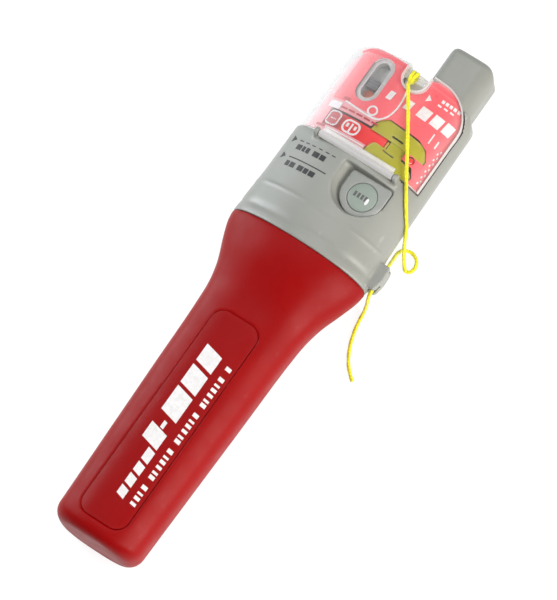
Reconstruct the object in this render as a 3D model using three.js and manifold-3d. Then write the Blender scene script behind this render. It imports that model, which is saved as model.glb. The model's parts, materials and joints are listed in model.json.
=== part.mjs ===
// A hand-held emergency position beacon: a red battery grip, a grey head with an antenna column,
// a clear cap over a switch bay with a spring-tape antenna, a test button and a trip cord.
// Millimetres. X is to the right across the face, Y runs from the grip's end towards the antenna
// column, Z points out of the face. The beacon lies on its back on the plane z = 0.
// Every shape below is drawn with y counted from the grip's end; the last lines move the whole
// group so that the origin is at the middle of the length.
import * as THREE from "three";
import { mergeVertices } from "three/addons/utils/BufferGeometryUtils.js";
import Module from "manifold-3d";

const wasm = await Module();
wasm.setup();

// ---------------------------------------------------------------- driving dimensions
const LENGTH = 188.6; // grip's end to the top of the antenna column
const SEAM_Y = 109; // grip meets head
const GAP = 0.3; // clearance between pieces that touch
const WALL = 1.8; // wall of the grip and the head

const GRIP = { thick: 21.8, endRadius: 5, endEdge: 3.2, power: 2.6, flareStart: 84, flareEnd: 107 };
// half-widths of the grip, from its end to the seam
const GRIP_WIDTHS = [
  [5, 15.1], [56, 16.4], [73, 16.7], [80.5, 17], [86, 17.4], [90, 18.2], [94.5, 19.5],
  [98, 21.2], [101.5, 22.5], [104.5, 23.7], [107, 24.3], [SEAM_Y, 24.3],
];
const PANEL = { halfWidth: 8.4, bottom: 5, top: 80, radius: 4.5, depth: 0.7 };

const HEAD = { front: 25.4, rear: -1, centre: 12.2, power: 2.05 };
const HEAD_WIDTHS = [
  [SEAM_Y, 24.3], [112, 24.3], [117, 24], [125, 23.6], [142, 23.4], [190, 22.9],
];
const PARTING_Z = 6.15; // joint plane between the front shell and the rear cover
const SHOULDER = { right: 23.1, start: 166.5, end: 172.3 };
const BODY_TOP = 174; // top of the rear cover, left of the column
const CORNER = 10; // top left corner of cover and cap

const COLUMN = {
  left: 4.2, right: 20.3, rear: 3.2, front: 20.4, from: 171, cornerLeft: 3, cornerRight: 4.8,
  frontLeft: 2.4, frontRight: 6.4, rearLeft: 4, rearRight: 7, // radii of the long edges
};

const BAY = { bottom: 141.9, right: 21.6, left: -17.8, crown: 7, top: 171.8 };
const CAP = { halfWidth: 22.9, crown: 13.8, wall: 1.2, bottom: 142.3, top: 174.7, right: 21.3 };
const CAP_CORNER = 10;
const CAP_ARC = 10.5; // big arc of the cap's top right corner
const NOTCH = { left: -1.8, right: 5.9, bottom: 167 };
const HINGE = { y: 140.85, z: 25.5, barrel: 1.15, bore: 0.75, pin: 0.45, left: -12.8, right: 13.8 };
const EAR = { thick: 1.5, rear: 139.6, front: 142.1, top: 26.8 };

const TRACK = { x: -8.95, halfWidth: 3.75, from: 157, to: 172.6, rim: 1.4 };
const KNOB = { from: 162.2, to: 165.3, halfWidth: 1.9 };
const BUTTON = {
  x: 9, y: 131.3, radius: 4.5, pocket: 19.9, floor: 21, plate: 22.3, top: 22.5,
  stem: 0.45, bore: 0.62, // the pin that reaches the switch, and its hole through the shell
};
const RECESS = { left: -1.5, right: 17, bottom: 123.8, top: 138.2 };
const PLATE = { left: 1.6, right: 15.9, bottom: 124.8, top: 137.6 };

const LUG = { root: 23, x: 25.5, hole: 1.3, bottom: 110.4, top: 119.2, rear: 9.2, front: 15.2 };
const CELL = { radius: 8.5, length: 34.2, first: 9.2, pitch: 35, z: 10.9 };
const BOARD = { halfWidth: 15.4, rear: 8.4, front: 9.4 };
const SCREWS = [[-12.5, 115.5], [12.5, 115.5], [-12.5, 167], [12.5, 160]];
const CORD_DIAMETER = 1.2;

// facets round the outside and the inside of the casings
const OUTSIDE = 36;
const INSIDE = 26;
const FINEST = 0.004; // details smaller than this are merged away

// ---------------------------------------------------------------- materials
function paint(color, roughness = 0.5, metalness = 0, opacity = 1) {
  return new THREE.MeshStandardMaterial({
    color, roughness, metalness, opacity, transparent: opacity < 1,
  });
}
const RED = () => paint(0xb0121a, 0.4);
const GREY = () => paint(0x9a9d99, 0.5);
const DARK = () => paint(0x55585a, 0.5);
const OLIVE = () => paint(0x9c9a1c, 0.45);
const STEEL = () => paint(0xb9bcc0, 0.3, 1);
const YELLOW = () => paint(0xe6e01e, 0.7);

// ---------------------------------------------------------------- solids
// A solid from a closed three.js geometry, whose shared corners are merged first.
function toSolid(geometry) {
  const bare = geometry.clone();
  bare.deleteAttribute("normal");
  bare.deleteAttribute("uv");
  const merged = mergeVertices(bare, 1e-4);
  return new wasm.Manifold(new wasm.Mesh({
    numProp: 3,
    vertProperties: new Float32Array(merged.attributes.position.array),
    triVerts: new Uint32Array(merged.index.array),
  }));
}

function toGeometry(solid) {
  const mesh = solid.simplify(FINEST).getMesh();
  const geometry = new THREE.BufferGeometry();
  const corners = new Float32Array(mesh.numVert * 3);
  for (let i = 0; i < mesh.numVert; i++) {
    for (let k = 0; k < 3; k++) corners[3 * i + k] = mesh.vertProperties[i * mesh.numProp + k];
  }
  geometry.setAttribute("position", new THREE.BufferAttribute(corners, 3));
  geometry.setIndex(new THREE.BufferAttribute(new Uint32Array(mesh.triVerts), 1));
  geometry.computeVertexNormals();
  return geometry;
}

const join = (first, ...rest) =>
  toGeometry(rest.reduce((whole, piece) => whole.add(toSolid(piece)), toSolid(first)));
const cut = (first, ...rest) =>
  toGeometry(rest.reduce((whole, piece) => whole.subtract(toSolid(piece)), toSolid(first)));
const common = (first, ...rest) =>
  toGeometry(rest.reduce((whole, piece) => whole.intersect(toSolid(piece)), toSolid(first)));

const block = (x0, x1, y0, y1, z0, z1) =>
  new THREE.BoxGeometry(x1 - x0, y1 - y0, z1 - z0)
    .translate((x0 + x1) / 2, (y0 + y1) / 2, (z0 + z1) / 2);

// Round bars along each axis; for each, from and to are the ends along that axis.
const rodY = (x, z, from, to, radius, sides = 24) =>
  new THREE.CylinderGeometry(radius, radius, to - from, sides).translate(x, (from + to) / 2, z);
const rodX = (y, z, from, to, radius, sides = 24) =>
  new THREE.CylinderGeometry(radius, radius, to - from, sides)
    .rotateZ(Math.PI / 2).translate((from + to) / 2, y, z);
const rodZ = (x, y, from, to, radius, sides = 24) =>
  new THREE.CylinderGeometry(radius, radius, to - from, sides)
    .rotateX(Math.PI / 2).translate(x, y, (from + to) / 2);

function roundedRect(x0, y0, x1, y1, radius) {
  const shape = new THREE.Shape();
  shape.moveTo(x0 + radius, y0);
  shape.lineTo(x1 - radius, y0);
  shape.absarc(x1 - radius, y0 + radius, radius, -Math.PI / 2, 0);
  shape.lineTo(x1, y1 - radius);
  shape.absarc(x1 - radius, y1 - radius, radius, 0, Math.PI / 2);
  shape.lineTo(x0 + radius, y1);
  shape.absarc(x0 + radius, y1 - radius, radius, Math.PI / 2, Math.PI);
  shape.lineTo(x0, y0 + radius);
  shape.absarc(x0 + radius, y0 + radius, radius, Math.PI, 1.5 * Math.PI);
  return shape;
}

// A flat outline in X and Y, extruded along Z.
const prism = (shape, z0, z1, curveSegments = 8) =>
  new THREE.ExtrudeGeometry(shape, { depth: z1 - z0, bevelEnabled: false, curveSegments })
    .translate(0, 0, z0);

// A section drawn in X and Z (as the shape's x and y), extruded along Y.
const beam = (shape, y0, y1, curveSegments = 6) =>
  new THREE.ExtrudeGeometry(shape, { depth: y1 - y0, bevelEnabled: false, curveSegments })
    .rotateX(Math.PI / 2).translate(0, y1, 0);

// ---------------------------------------------------------------- lofted casings
function between(stations, y) {
  const next = stations.findIndex(([at]) => at >= y);
  if (next === 0) return stations[0][1];
  if (next < 0) return stations[stations.length - 1][1];
  const [[y0, v0], [y1, v1]] = [stations[next - 1], stations[next]];
  return v0 + ((v1 - v0) * (y - y0)) / (y1 - y0);
}

// How far a rounded end of this radius draws in at the distance y from the end.
const roundIn = (y, radius) =>
  y >= radius ? 0 : radius - Math.sqrt(radius * radius - (radius - y) ** 2);

function gripSection(y) {
  const flare = THREE.MathUtils.smoothstep(y, GRIP.flareStart, GRIP.flareEnd);
  const edge = roundIn(y, GRIP.endEdge);
  return {
    halfWidth: between(GRIP_WIDTHS, y) - roundIn(y, GRIP.endRadius),
    front: THREE.MathUtils.lerp(GRIP.thick, HEAD.front, flare) - edge,
    rear: THREE.MathUtils.lerp(-0.5, HEAD.rear, flare) + edge,
    centre: THREE.MathUtils.lerp(GRIP.thick / 2, HEAD.centre, flare),
    power: THREE.MathUtils.lerp(GRIP.power, HEAD.power, flare),
  };
}

const headSection = (y) => ({ ...HEAD, halfWidth: between(HEAD_WIDTHS, y) });

// One closed ring of a casing: a superellipse flattened where it would pass below the floor,
// drawn in by inset all round.
function ring(y, section, count, inset, floor = 0) {
  const points = [];
  for (let i = 0; i < count; i++) {
    const angle = (2 * Math.PI * i) / count;
    const bend = (value) => Math.sign(value) * Math.abs(value) ** (2 / section.power);
    const across = bend(Math.cos(angle));
    const up = bend(Math.sin(angle));
    const height = up > 0 ? section.front - section.centre : section.centre - section.rear;
    points.push([
      (section.halfWidth - inset) * across,
      y,
      Math.max(section.centre + (height - inset) * up, floor + inset),
    ]);
  }
  return points;
}

// A closed solid through rings of equal count, each end closed by a fan about its middle.
function loft(rings) {
  const count = rings[0].length;
  const last = rings.length - 1;
  const corners = rings.flat(2);
  const middle = (points) => points.reduce(
    (sum, p) => sum.map((value, k) => value + p[k] / points.length), [0, 0, 0]);
  corners.push(...middle(rings[0]), ...middle(rings[last]));
  const faces = [];
  for (let i = 0; i < count; i++) {
    const j = (i + 1) % count;
    faces.push((last + 1) * count, i, j);
    faces.push((last + 1) * count + 1, last * count + j, last * count + i);
    for (let k = 0; k < last; k++) {
      const low = k * count;
      const high = low + count;
      faces.push(low + i, high + i, high + j, low + i, high + j, low + j);
    }
  }
  const geometry = new THREE.BufferGeometry();
  geometry.setAttribute("position", new THREE.BufferAttribute(new Float32Array(corners), 3));
  geometry.setIndex(faces);
  return geometry;
}

const casing = (section, stations, count, inset) =>
  loft(stations.map((y) => ring(y, section(y), count, inset)));

// A solid elliptical bar along Y, used for pieces that follow the crown of the cap.
const crownBar = (y0, y1, inset, count = OUTSIDE) => {
  const section = {
    halfWidth: CAP.halfWidth, front: HEAD.centre + CAP.crown, rear: HEAD.centre - CAP.crown,
    centre: HEAD.centre, power: 2,
  };
  return loft([y0, y1].map((y) => ring(y, section, count, inset, -20)));
};

// A curved sheet that follows the crown between two depths below the cap's outer face.
const crownSheet = (outline, from, to) =>
  common(cut(crownBar(138, 178, from), crownBar(137, 179, to)), outline);

// ---------------------------------------------------------------- grip
const grip = new THREE.Group();

function addTo(group, name, geometry, material) {
  const mesh = new THREE.Mesh(geometry, material);
  mesh.name = name;
  group.add(mesh);
}

const GRIP_STATIONS = [
  0, 0.4, 1.2, 2.4, 3.8, 5, 30, 56, 73, 80.5, 86, 90, 94.5, 98, 101.5, 104.5, 107,
];
const GRIP_MOUTH = SEAM_Y - GAP / 2;

const panelShape = (margin) => roundedRect(
  -PANEL.halfWidth + margin, PANEL.bottom + margin,
  PANEL.halfWidth - margin, PANEL.top - margin, PANEL.radius - margin);

function gripShell() {
  const outer = casing(gripSection, [...GRIP_STATIONS, GRIP_MOUTH], OUTSIDE, 0);
  const inner = casing(
    (y) => gripSection(y - WALL), [WALL, 2.6, 4.4, 40, 75, 88, 96, 103, SEAM_Y + 1.5], INSIDE, WALL);
  const panelCut = cut(prism(panelShape(0), 11, 40),
    casing(gripSection, [2, 5, 30, 56, 90], OUTSIDE, PANEL.depth));
  const screwBoss = common(block(15, 21, 94.2, 100.2, 8, 15),
    casing(gripSection, [80, 90, 94.5, 98, 101.5], INSIDE, 0.9));
  const pocket = new THREE.ExtrudeGeometry(roundedRect(95.2, 10.2, 99.6, 13, 1.3),
    { depth: 8, bevelEnabled: false, curveSegments: 6 });
  // the pocket's outline is drawn in Y and Z, and runs inwards along X
  pocket.applyMatrix4(new THREE.Matrix4().makeBasis(
    new THREE.Vector3(0, 1, 0), new THREE.Vector3(0, 0, 1), new THREE.Vector3(1, 0, 0)));
  pocket.translate(19.1, 0, 0);
  return cut(join(cut(outer, inner), screwBoss), panelCut, pocket,
    rodX(97.4, 11.6, 10, 25, 1, 16));
}

addTo(grip, "handle_grip", gripShell(), RED());
addTo(grip, "grip_label",
  common(cut(casing(gripSection, [2, 5, 30, 56, 90], OUTSIDE, 0.1),
    casing(gripSection, [1, 5, 30, 56, 91], OUTSIDE, 0.4)), prism(panelShape(GAP), 15, 40)), RED());

function screw(radius, headHeight, shank, length) {
  const profile = [
    [0, 0], [radius, 0], [radius, headHeight * 0.6], [shank, headHeight], [shank, length - shank],
    [0, length],
  ];
  return new THREE.LatheGeometry(profile.map(([r, y]) => new THREE.Vector2(r, y)), 10);
}
addTo(grip, "grip_screw",
  screw(1.1, 0.8, 0.7, 4.4).rotateZ(Math.PI / 2).translate(20.2, 97.4, 11.6), STEEL());

// ---------------------------------------------------------------- power pack inside the grip
const power = new THREE.Group();
const CELL_TOP = CELL.first + CELL.pitch + CELL.length;

function batteryCell(from) {
  const r = CELL.radius;
  const profile = [
    [0, 0], [r - 1, 0], [r, 0.8], [r, CELL.length - 2], [r - 1, CELL.length - 1.2],
    [3.2, CELL.length - 1.2], [3, CELL.length], [0, CELL.length],
  ];
  return new THREE.LatheGeometry(profile.map(([x, y]) => new THREE.Vector2(x, y)), 20)
    .translate(0, from, CELL.z);
}
for (const number of [1, 2]) {
  addTo(power, `battery_cell_${number}`, batteryCell(CELL.first + CELL.pitch * (number - 1)),
    paint(0x2f5d9a, 0.4));
}

class ConeSpring extends THREE.Curve {
  getPoint(t) {
    const turns = 3;
    const radius = THREE.MathUtils.lerp(3.8, 2.4, t);
    const angle = 2 * Math.PI * turns * t;
    return new THREE.Vector3(
      radius * Math.cos(angle), THREE.MathUtils.lerp(6, 8.5, t), CELL.z + radius * Math.sin(angle));
  }
}
const wireSection = (radius, sides) => new THREE.Shape(
  Array.from({ length: sides }, (_, i) => new THREE.Vector2(
    radius * Math.cos((2 * Math.PI * i) / sides), radius * Math.sin((2 * Math.PI * i) / sides))));
addTo(power, "battery_spring", new THREE.ExtrudeGeometry(wireSection(0.4, 5),
  { steps: 36, bevelEnabled: false, extrudePath: new ConeSpring() }), STEEL());
addTo(power, "battery_contact",
  block(-4, 4, CELL_TOP + GAP, CELL_TOP + 1, CELL.z - 4, CELL.z + 4), STEEL());

// The carrier: two rails beside the cells, tied by a plate at each end.
const RAIL = { inner: 9.2, outer: 11.3, rear: 6.6, front: 15.2, from: 4, to: CELL_TOP + 3 };
function batteryCarrier() {
  const rail = (side) => block(
    Math.min(side * RAIL.inner, side * RAIL.outer), Math.max(side * RAIL.inner, side * RAIL.outer),
    RAIL.from, RAIL.to, RAIL.rear, RAIL.front);
  const plate = (y) => block(-RAIL.outer, RAIL.outer, y, y + 1.4, RAIL.rear, RAIL.front);
  return join(rail(1), rail(-1), plate(RAIL.from), plate(RAIL.to - 1.4));
}
addTo(power, "battery_carrier", batteryCarrier(), DARK());

// ---------------------------------------------------------------- neck between grip and head
const neck = new THREE.Group();
const ellipse = (a, b) => {
  const shape = new THREE.Shape();
  shape.absellipse(0, HEAD.centre, a, b, 0, 2 * Math.PI);
  return shape;
};
const SPIGOT = { a: 19, b: 8.6, from: 100.6, to: 112, floor: 2 };
addTo(neck, "neck_bulkhead", cut(
  join(beam(ellipse(SPIGOT.a, SPIGOT.b), SPIGOT.from, SPIGOT.to, 12),
    beam(ellipse(21.4, 10), SEAM_Y + 1, SEAM_Y + 2.4, 12)),
  beam(ellipse(SPIGOT.a - 2, SPIGOT.b - 2), SPIGOT.from + SPIGOT.floor, SPIGOT.to + 1, 12)), GREY());
addTo(neck, "seal_ring", cut(
  beam(ellipse(SPIGOT.a + 1.8, SPIGOT.b + 1.5), 104, 105.8, 12),
  beam(ellipse(SPIGOT.a + GAP, SPIGOT.b + GAP), 103, 107, 12)), paint(0x202224, 0.8));

// ---------------------------------------------------------------- head casings
const head = new THREE.Group();
const HEAD_STATIONS = [SEAM_Y + GAP / 2, 112, 117, 125, 142, 190];

// The head's outline seen from the front, drawn in by margin.
function headOutline(margin, bodyTop = BODY_TOP) {
  const { left, right, cornerLeft, cornerRight } = COLUMN;
  const top = LENGTH - margin;
  const shape = new THREE.Shape();
  shape.moveTo(-30 + margin, 100);
  shape.lineTo(30 - margin, 100);
  shape.lineTo(30 - margin, 150);
  shape.lineTo(SHOULDER.right - margin, SHOULDER.start);
  shape.quadraticCurveTo(SHOULDER.right - margin - 0.2, SHOULDER.end - 2,
    right - margin, SHOULDER.end);
  shape.lineTo(right - margin, top - cornerRight);
  shape.absarc(right - margin - cornerRight, top - cornerRight, cornerRight, 0, Math.PI / 2);
  shape.lineTo(left + margin + cornerLeft, top);
  shape.absarc(left + margin + cornerLeft, top - cornerLeft, cornerLeft, Math.PI / 2, Math.PI);
  shape.lineTo(left + margin, bodyTop - margin);
  shape.lineTo(-CAP.halfWidth + CORNER, bodyTop - margin);
  shape.absarc(-CAP.halfWidth + CORNER, bodyTop - CORNER, CORNER - margin, Math.PI / 2, Math.PI);
  shape.lineTo(-CAP.halfWidth + margin - 0.2, 150);
  shape.lineTo(-30 + margin, 145);
  return shape;
}

// The column's own section, with rounded long edges.
function columnBar(margin, from = COLUMN.from) {
  const [left, right] = [COLUMN.left + margin, COLUMN.right - margin];
  const [rear, front] = [COLUMN.rear + margin, COLUMN.front - margin];
  const shape = new THREE.Shape();
  const round = (radius, xSide, zSide, start) => {
    const r = Math.max(radius - margin, 0.5);
    shape.absarc((xSide > 0 ? right : left) - xSide * r, (zSide > 0 ? front : rear) - zSide * r, r,
      start * Math.PI / 2, (start + 1) * Math.PI / 2);
  };
  round(COLUMN.rearRight, 1, -1, -1);
  round(COLUMN.frontRight, 1, 1, 0);
  round(COLUMN.frontLeft, -1, 1, 1);
  round(COLUMN.rearLeft, -1, -1, 2);
  return beam(shape, from, LENGTH + 2);
}
const aboveShoulder = block(-40, 40, BAY.top, 200, -5, 40);

// The whole head without its cavity: the elliptical body, and the column above the shoulder.
const headBody = cut(casing(headSection, HEAD_STATIONS, OUTSIDE, 0), aboveShoulder);
const headWhole = common(join(headBody, columnBar(0)), prism(headOutline(0), -5, 40));

// The space inside: full height below the bay, low under the bay's crowned floor, and the column.
const bayCore = (inset, y0, y1) => {
  const section = {
    halfWidth: -BAY.left, front: HEAD.centre + BAY.crown, rear: -30, centre: HEAD.centre, power: 2,
  };
  const crown = loft([y0, y1].map((y) => ring(y, section, INSIDE, inset, -20)));
  const sides = block(BAY.left + inset, -BAY.left - inset, y0, y1, inset, HEAD.centre);
  return join(common(crown, block(-40, 40, y0, y1, HEAD.centre - 1, 40)), sides);
};
const cavity = join(
  cut(casing(headSection, [100, 117, 138.4], INSIDE, WALL),
    block(RECESS.left - 2, 30, RECESS.bottom - 2, RECESS.top + 2, BUTTON.floor - 2, 40)),
  common(bayCore(WALL, 136, BAY.top - WALL), casing(headSection, [100, 125, 142, 190], OUTSIDE, WALL)),
  common(columnBar(WALL, COLUMN.from + WALL), prism(headOutline(WALL), -5, 40)),
  // the low way from the body into the column, which the board's neck passes through
  block(6.3, 17.7, COLUMN.from - 3, COLUMN.from + 3, COLUMN.rear + WALL, 13.1),
);

// The bay seen from the front: its top right corner runs beside the cap's big arc.
function bayOutline() {
  const [x, y, top] = [CAP.right - CAP_ARC, CAP.top - CAP_ARC, BAY.top + 0.4];
  const radius = BAY.right - x;
  const shape = new THREE.Shape();
  shape.moveTo(-40, BAY.bottom);
  shape.lineTo(BAY.right, BAY.bottom);
  shape.absarc(x, y, radius, 0, Math.asin((top - y) / radius));
  shape.lineTo(-40, top);
  return shape;
}


// The bay under the cap: everything above its crowned floor, and the channel down its left side.
const bayCut = cut(
  join(prism(bayOutline(), HEAD.centre, 40),
    block(-40, BAY.left, BAY.bottom, 180, PARTING_Z - 2, 13)),
  bayCore(0, 130, 190), columnBar(0));

const uShape = (box) => {
  const radius = (box.right - box.left) / 2;
  const corner = 1;
  const shape = new THREE.Shape();
  shape.moveTo(box.left + corner, box.top);
  shape.absarc(box.left + corner, box.top - corner, corner, Math.PI / 2, Math.PI);
  shape.lineTo(box.left, box.bottom + radius);
  shape.absarc(box.left + radius, box.bottom + radius, radius, Math.PI, 2 * Math.PI);
  shape.lineTo(box.right, box.top - corner);
  shape.absarc(box.right - corner, box.top - corner, corner, 0, Math.PI / 2);
  return shape;
};

// Bosses that take the rear screws, one half in each casing.
const bosses = (z0, z1) => SCREWS.map(([x, y]) => rodZ(x, y, z0, z1, 3, 16));

function cordLug() {
  const shape = new THREE.Shape();
  shape.moveTo(LUG.root, LUG.bottom);
  shape.lineTo(26.4, LUG.bottom);
  shape.quadraticCurveTo(27, 112, 27.2, 114.5);
  shape.quadraticCurveTo(27.4, 117, 26.8, LUG.top);
  shape.lineTo(LUG.root, LUG.top);
  return prism(shape, LUG.rear, LUG.front);
}

// Ears at both ends of the cap's hinge barrel.
const ear = (x) => {
  const shape = roundedRect(EAR.rear, 17, EAR.front, EAR.top, 0.9);
  const plate = new THREE.ExtrudeGeometry(shape,
    { depth: EAR.thick, bevelEnabled: false, curveSegments: 4 });
  plate.applyMatrix4(new THREE.Matrix4().makeBasis(
    new THREE.Vector3(0, 1, 0), new THREE.Vector3(0, 0, 1), new THREE.Vector3(1, 0, 0)));
  return plate.translate(x, 0, 0);
};
const EAR_LEFT = HINGE.left - GAP - EAR.thick;
const EAR_RIGHT = HINGE.right + GAP;

function headFrontShell() {
  const lower = block(-40, 40, 90, 200, -10, PARTING_Z + GAP / 2);
  const inSide = cut(headWhole, bayCut);
  const hollowed = cut(inSide, cavity);
  const posts = common(join(...bosses(0, 25)), inSide);
  const screwHoles = SCREWS.map(([x, y]) => rodZ(x, y, 0, 12.6, 1.3, 12));
  const solid = cut(join(hollowed, posts, cordLug()), lower);
  return cut(join(solid, ear(EAR_LEFT), ear(EAR_RIGHT)),
    ...screwHoles,
    prism(uShape(RECESS), BUTTON.floor, 40),
    rodZ(BUTTON.x, BUTTON.y, BUTTON.pocket, 30, BUTTON.radius + GAP, 24),
    rodZ(BUTTON.x, BUTTON.y, 10, 30, BUTTON.bore, 16),
    rodX(HINGE.y, HINGE.z, HINGE.left - GAP, HINGE.right + GAP, HINGE.barrel + GAP, 16),
    rodX(HINGE.y, HINGE.z, EAR_LEFT + 0.5, EAR_RIGHT + EAR.thick - 0.5, HINGE.bore, 16),
    rodY(LUG.x, HEAD.centre, 90, 130, LUG.hole, 16));
}

function rearCover() {
  const upper = block(-40, 40, 90, 200, PARTING_Z - GAP / 2, 60);
  const skirt = common(casing(headSection, HEAD_STATIONS, OUTSIDE, 0),
    prism(headOutline(0), -5, 40), block(-40, COLUMN.left + 3, BAY.top - 2, BODY_TOP, -5, 40));
  const hollow = cut(join(headWhole, skirt), cavity);
  const posts = common(join(...bosses(0, 10)), headWhole);
  const holes = SCREWS.flatMap(([x, y]) => [
    rodZ(x, y, -1, 12, 1.3, 12), rodZ(x, y, -1, 2.6, 2.4, 16),
  ]);
  return cut(join(hollow, posts), upper, ...holes);
}

addTo(head, "head_front_shell", headFrontShell(), GREY());
addTo(head, "rear_cover", rearCover(), GREY());

SCREWS.forEach(([x, y], i) => {
  addTo(head, `rear_screw_${i + 1}`,
    screw(2, 1.4, 1, 10.5).rotateX(Math.PI / 2).translate(x, y, 1.3), STEEL());
});

// ---------------------------------------------------------------- electronics
const electronics = new THREE.Group();

function mainBoard() {
  const wide = block(-BOARD.halfWidth, BOARD.halfWidth, 114, 169.2, BOARD.rear, BOARD.front);
  const neckStrip = block(7.4, 16.8, 168, 184.6, BOARD.rear, BOARD.front);
  const corner = block(-20, -9.6, 163.4, 172, 0, 20);
  return cut(join(wide, neckStrip), corner,
    ...SCREWS.map(([x, y]) => rodZ(x, y, 0, 20, 3.4, 16)));
}
addTo(electronics, "main_board", mainBoard(), paint(0x1f6b3a, 0.5));
addTo(electronics, "gps_antenna",
  block(6.9, 16.5, 174, 183.6, BOARD.front + GAP, BOARD.front + 4.3), paint(0xd8cfb8, 0.6));
addTo(electronics, "radio_shield",
  block(-11.5, 4.5, 143.5, 156.5, BOARD.front + GAP, BOARD.front + 2.6), STEEL());
addTo(electronics, "processor_chip",
  block(-9.5, -2.5, 118, 125, BOARD.front + GAP, BOARD.front + 1.3), paint(0x1b1c1e, 0.5));
addTo(electronics, "reed_switch",
  rodY(TRACK.x, BOARD.front + 1.4, 157.2, 163.4, 1, 12), paint(0xa7c7b8, 0.2, 0, 0.7));
addTo(electronics, "test_switch",
  join(block(BUTTON.x - 3, BUTTON.x + 3, BUTTON.y - 3, BUTTON.y + 3, BOARD.front + GAP, 13.6),
    rodZ(BUTTON.x, BUTTON.y, 13, 14.9, 1.6, 16)), paint(0x232426, 0.5));
const LEDS = [["led_locked", -13, 136.4], ["led_searching", -13, 130.4], ["led_active", 8.4, 163]];
for (const [name, x, y] of LEDS) {
  addTo(electronics, name, new THREE.LatheGeometry(
    [[0, 0], [1.2, 0], [1.2, 1.4], [0.8, 2.2], [0, 2.5]].map(([r, h]) => new THREE.Vector2(r, h)),
    10).rotateX(Math.PI / 2).translate(x, y, BOARD.front + GAP), paint(0xe9f2e4, 0.3));
}

// ---------------------------------------------------------------- test button
const controls = new THREE.Group();
addTo(controls, "button_plate",
  cut(prism(uShape(PLATE), BUTTON.floor + GAP, BUTTON.plate),
    rodZ(BUTTON.x, BUTTON.y, 10, 30, BUTTON.radius + GAP, 24)), paint(0x8f9390, 0.45));
addTo(controls, "test_button", new THREE.LatheGeometry(
  [[0, 15.8], [BUTTON.stem, 15.8], [BUTTON.stem, 17.4], [2.6, 17.4], [2.6, 18.3], [BUTTON.stem, 18.3],
    [BUTTON.stem, 20.9], [BUTTON.radius, 20.9], [BUTTON.radius, BUTTON.top - 0.25],
    [BUTTON.radius - 0.35, BUTTON.top], [0, BUTTON.top]]
    .map(([r, h]) => new THREE.Vector2(r, h)), 24)
  .rotateX(Math.PI / 2).translate(BUTTON.x, BUTTON.y, 0), paint(0x9ba59a, 0.45));

// ---------------------------------------------------------------- slide switch in the bay
const stadium = (halfWidth, from, to) =>
  roundedRect(TRACK.x - halfWidth, from, TRACK.x + halfWidth, to, halfWidth - 0.01);
const floorUnder = (lift) => bayCore(-lift, 130, 190);
const CHANNEL_FLOOR = 1.1; // lift of the channel's floor above the bay's floor

addTo(controls, "switch_track", cut(
  common(crownBar(150, 176, 2.3), prism(stadium(TRACK.halfWidth, TRACK.from, TRACK.to), 10, 40)),
  floorUnder(GAP),
  cut(prism(stadium(TRACK.halfWidth - TRACK.rim, TRACK.from + 1, TRACK.to - 1), 10, 40),
    floorUnder(CHANNEL_FLOOR))), paint(0x9da09c, 0.5));
addTo(controls, "indicator_disc", common(
  rodZ(TRACK.x, 160.4, 15, 30, 1.7, 20),
  cut(floorUnder(CHANNEL_FLOOR + 0.7), floorUnder(CHANNEL_FLOOR + GAP))), paint(0xd76c48, 0.6));

const magnetSeat = (radius, z1) => rodZ(TRACK.x, (KNOB.from + KNOB.to) / 2, 18, z1, radius, 16);
addTo(controls, "switch_slider", cut(common(crownBar(150, 176, 2.7),
  block(TRACK.x - KNOB.halfWidth, TRACK.x + KNOB.halfWidth, KNOB.from, KNOB.to, 10, 40)),
floorUnder(CHANNEL_FLOOR + GAP), magnetSeat(1.1, 21.2)), DARK());
addTo(controls, "slider_magnet", cut(magnetSeat(0.8, 20.9), floorUnder(CHANNEL_FLOOR + GAP)),
  STEEL());

// ---------------------------------------------------------------- spring-tape antenna and clip
const antenna = new THREE.Group();
addTo(antenna, "antenna_tape",
  crownSheet(block(-30, 5.2, 145.4, 150.9, HEAD.centre + 1, 40), 3.1, 3.5), paint(0xcf1a1c, 0.35));
addTo(antenna, "tape_tip",
  crownSheet(block(5.5, 6.2, 145.6, 150.2, 10, 40), 3.1, 3.5), paint(0xf2c21e, 0.4));

// The clip: two arched wings, each with a slot, tied by a bridge that stands on a post.
function wing(x0, x1, y0, y1, leftArc, slotY) {
  const shape = new THREE.Shape();
  shape.moveTo(x0, y0);
  shape.lineTo(x1 - 0.6, y0);
  shape.quadraticCurveTo(x1, y0 + 0.2, x1, y0 + 0.9);
  shape.quadraticCurveTo(x1 - 1, y1 - 1, x1 - 5, y1 - 0.3);
  shape.lineTo(x0 + leftArc, y1);
  shape.quadraticCurveTo(x0 + 0.4, y1, x0, y0);
  shape.holes.push(roundedRect(5.8, slotY, 9.8, slotY + 0.6, 0.25));
  return prism(shape, 10, 40, 4);
}
const clipSheet = (outline) => crownSheet(outline, 2.1, 2.7);
addTo(antenna, "tape_clip", join(
  clipSheet(wing(-0.8, 18, 150.6, 156, 3, 151.9)),
  clipSheet(wing(0.9, 17.4, 142.9, 147.8, 2.4, 146.6)),
  clipSheet(block(6.6, 11.8, 147, 151.5, 10, 40)),
  cut(common(block(8, 10.4, 148, 150.4, 10, 40), crownBar(140, 160, 2.3)), floorUnder(GAP)),
), OLIVE());
addTo(antenna, "clip_rivet", cut(
  common(rodZ(14.4, 149.2, 10, 40, 1.1, 18), crownBar(140, 160, 1.95)), floorUnder(GAP)), RED());

// ---------------------------------------------------------------- clear cap
const cap = new THREE.Group();

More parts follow.
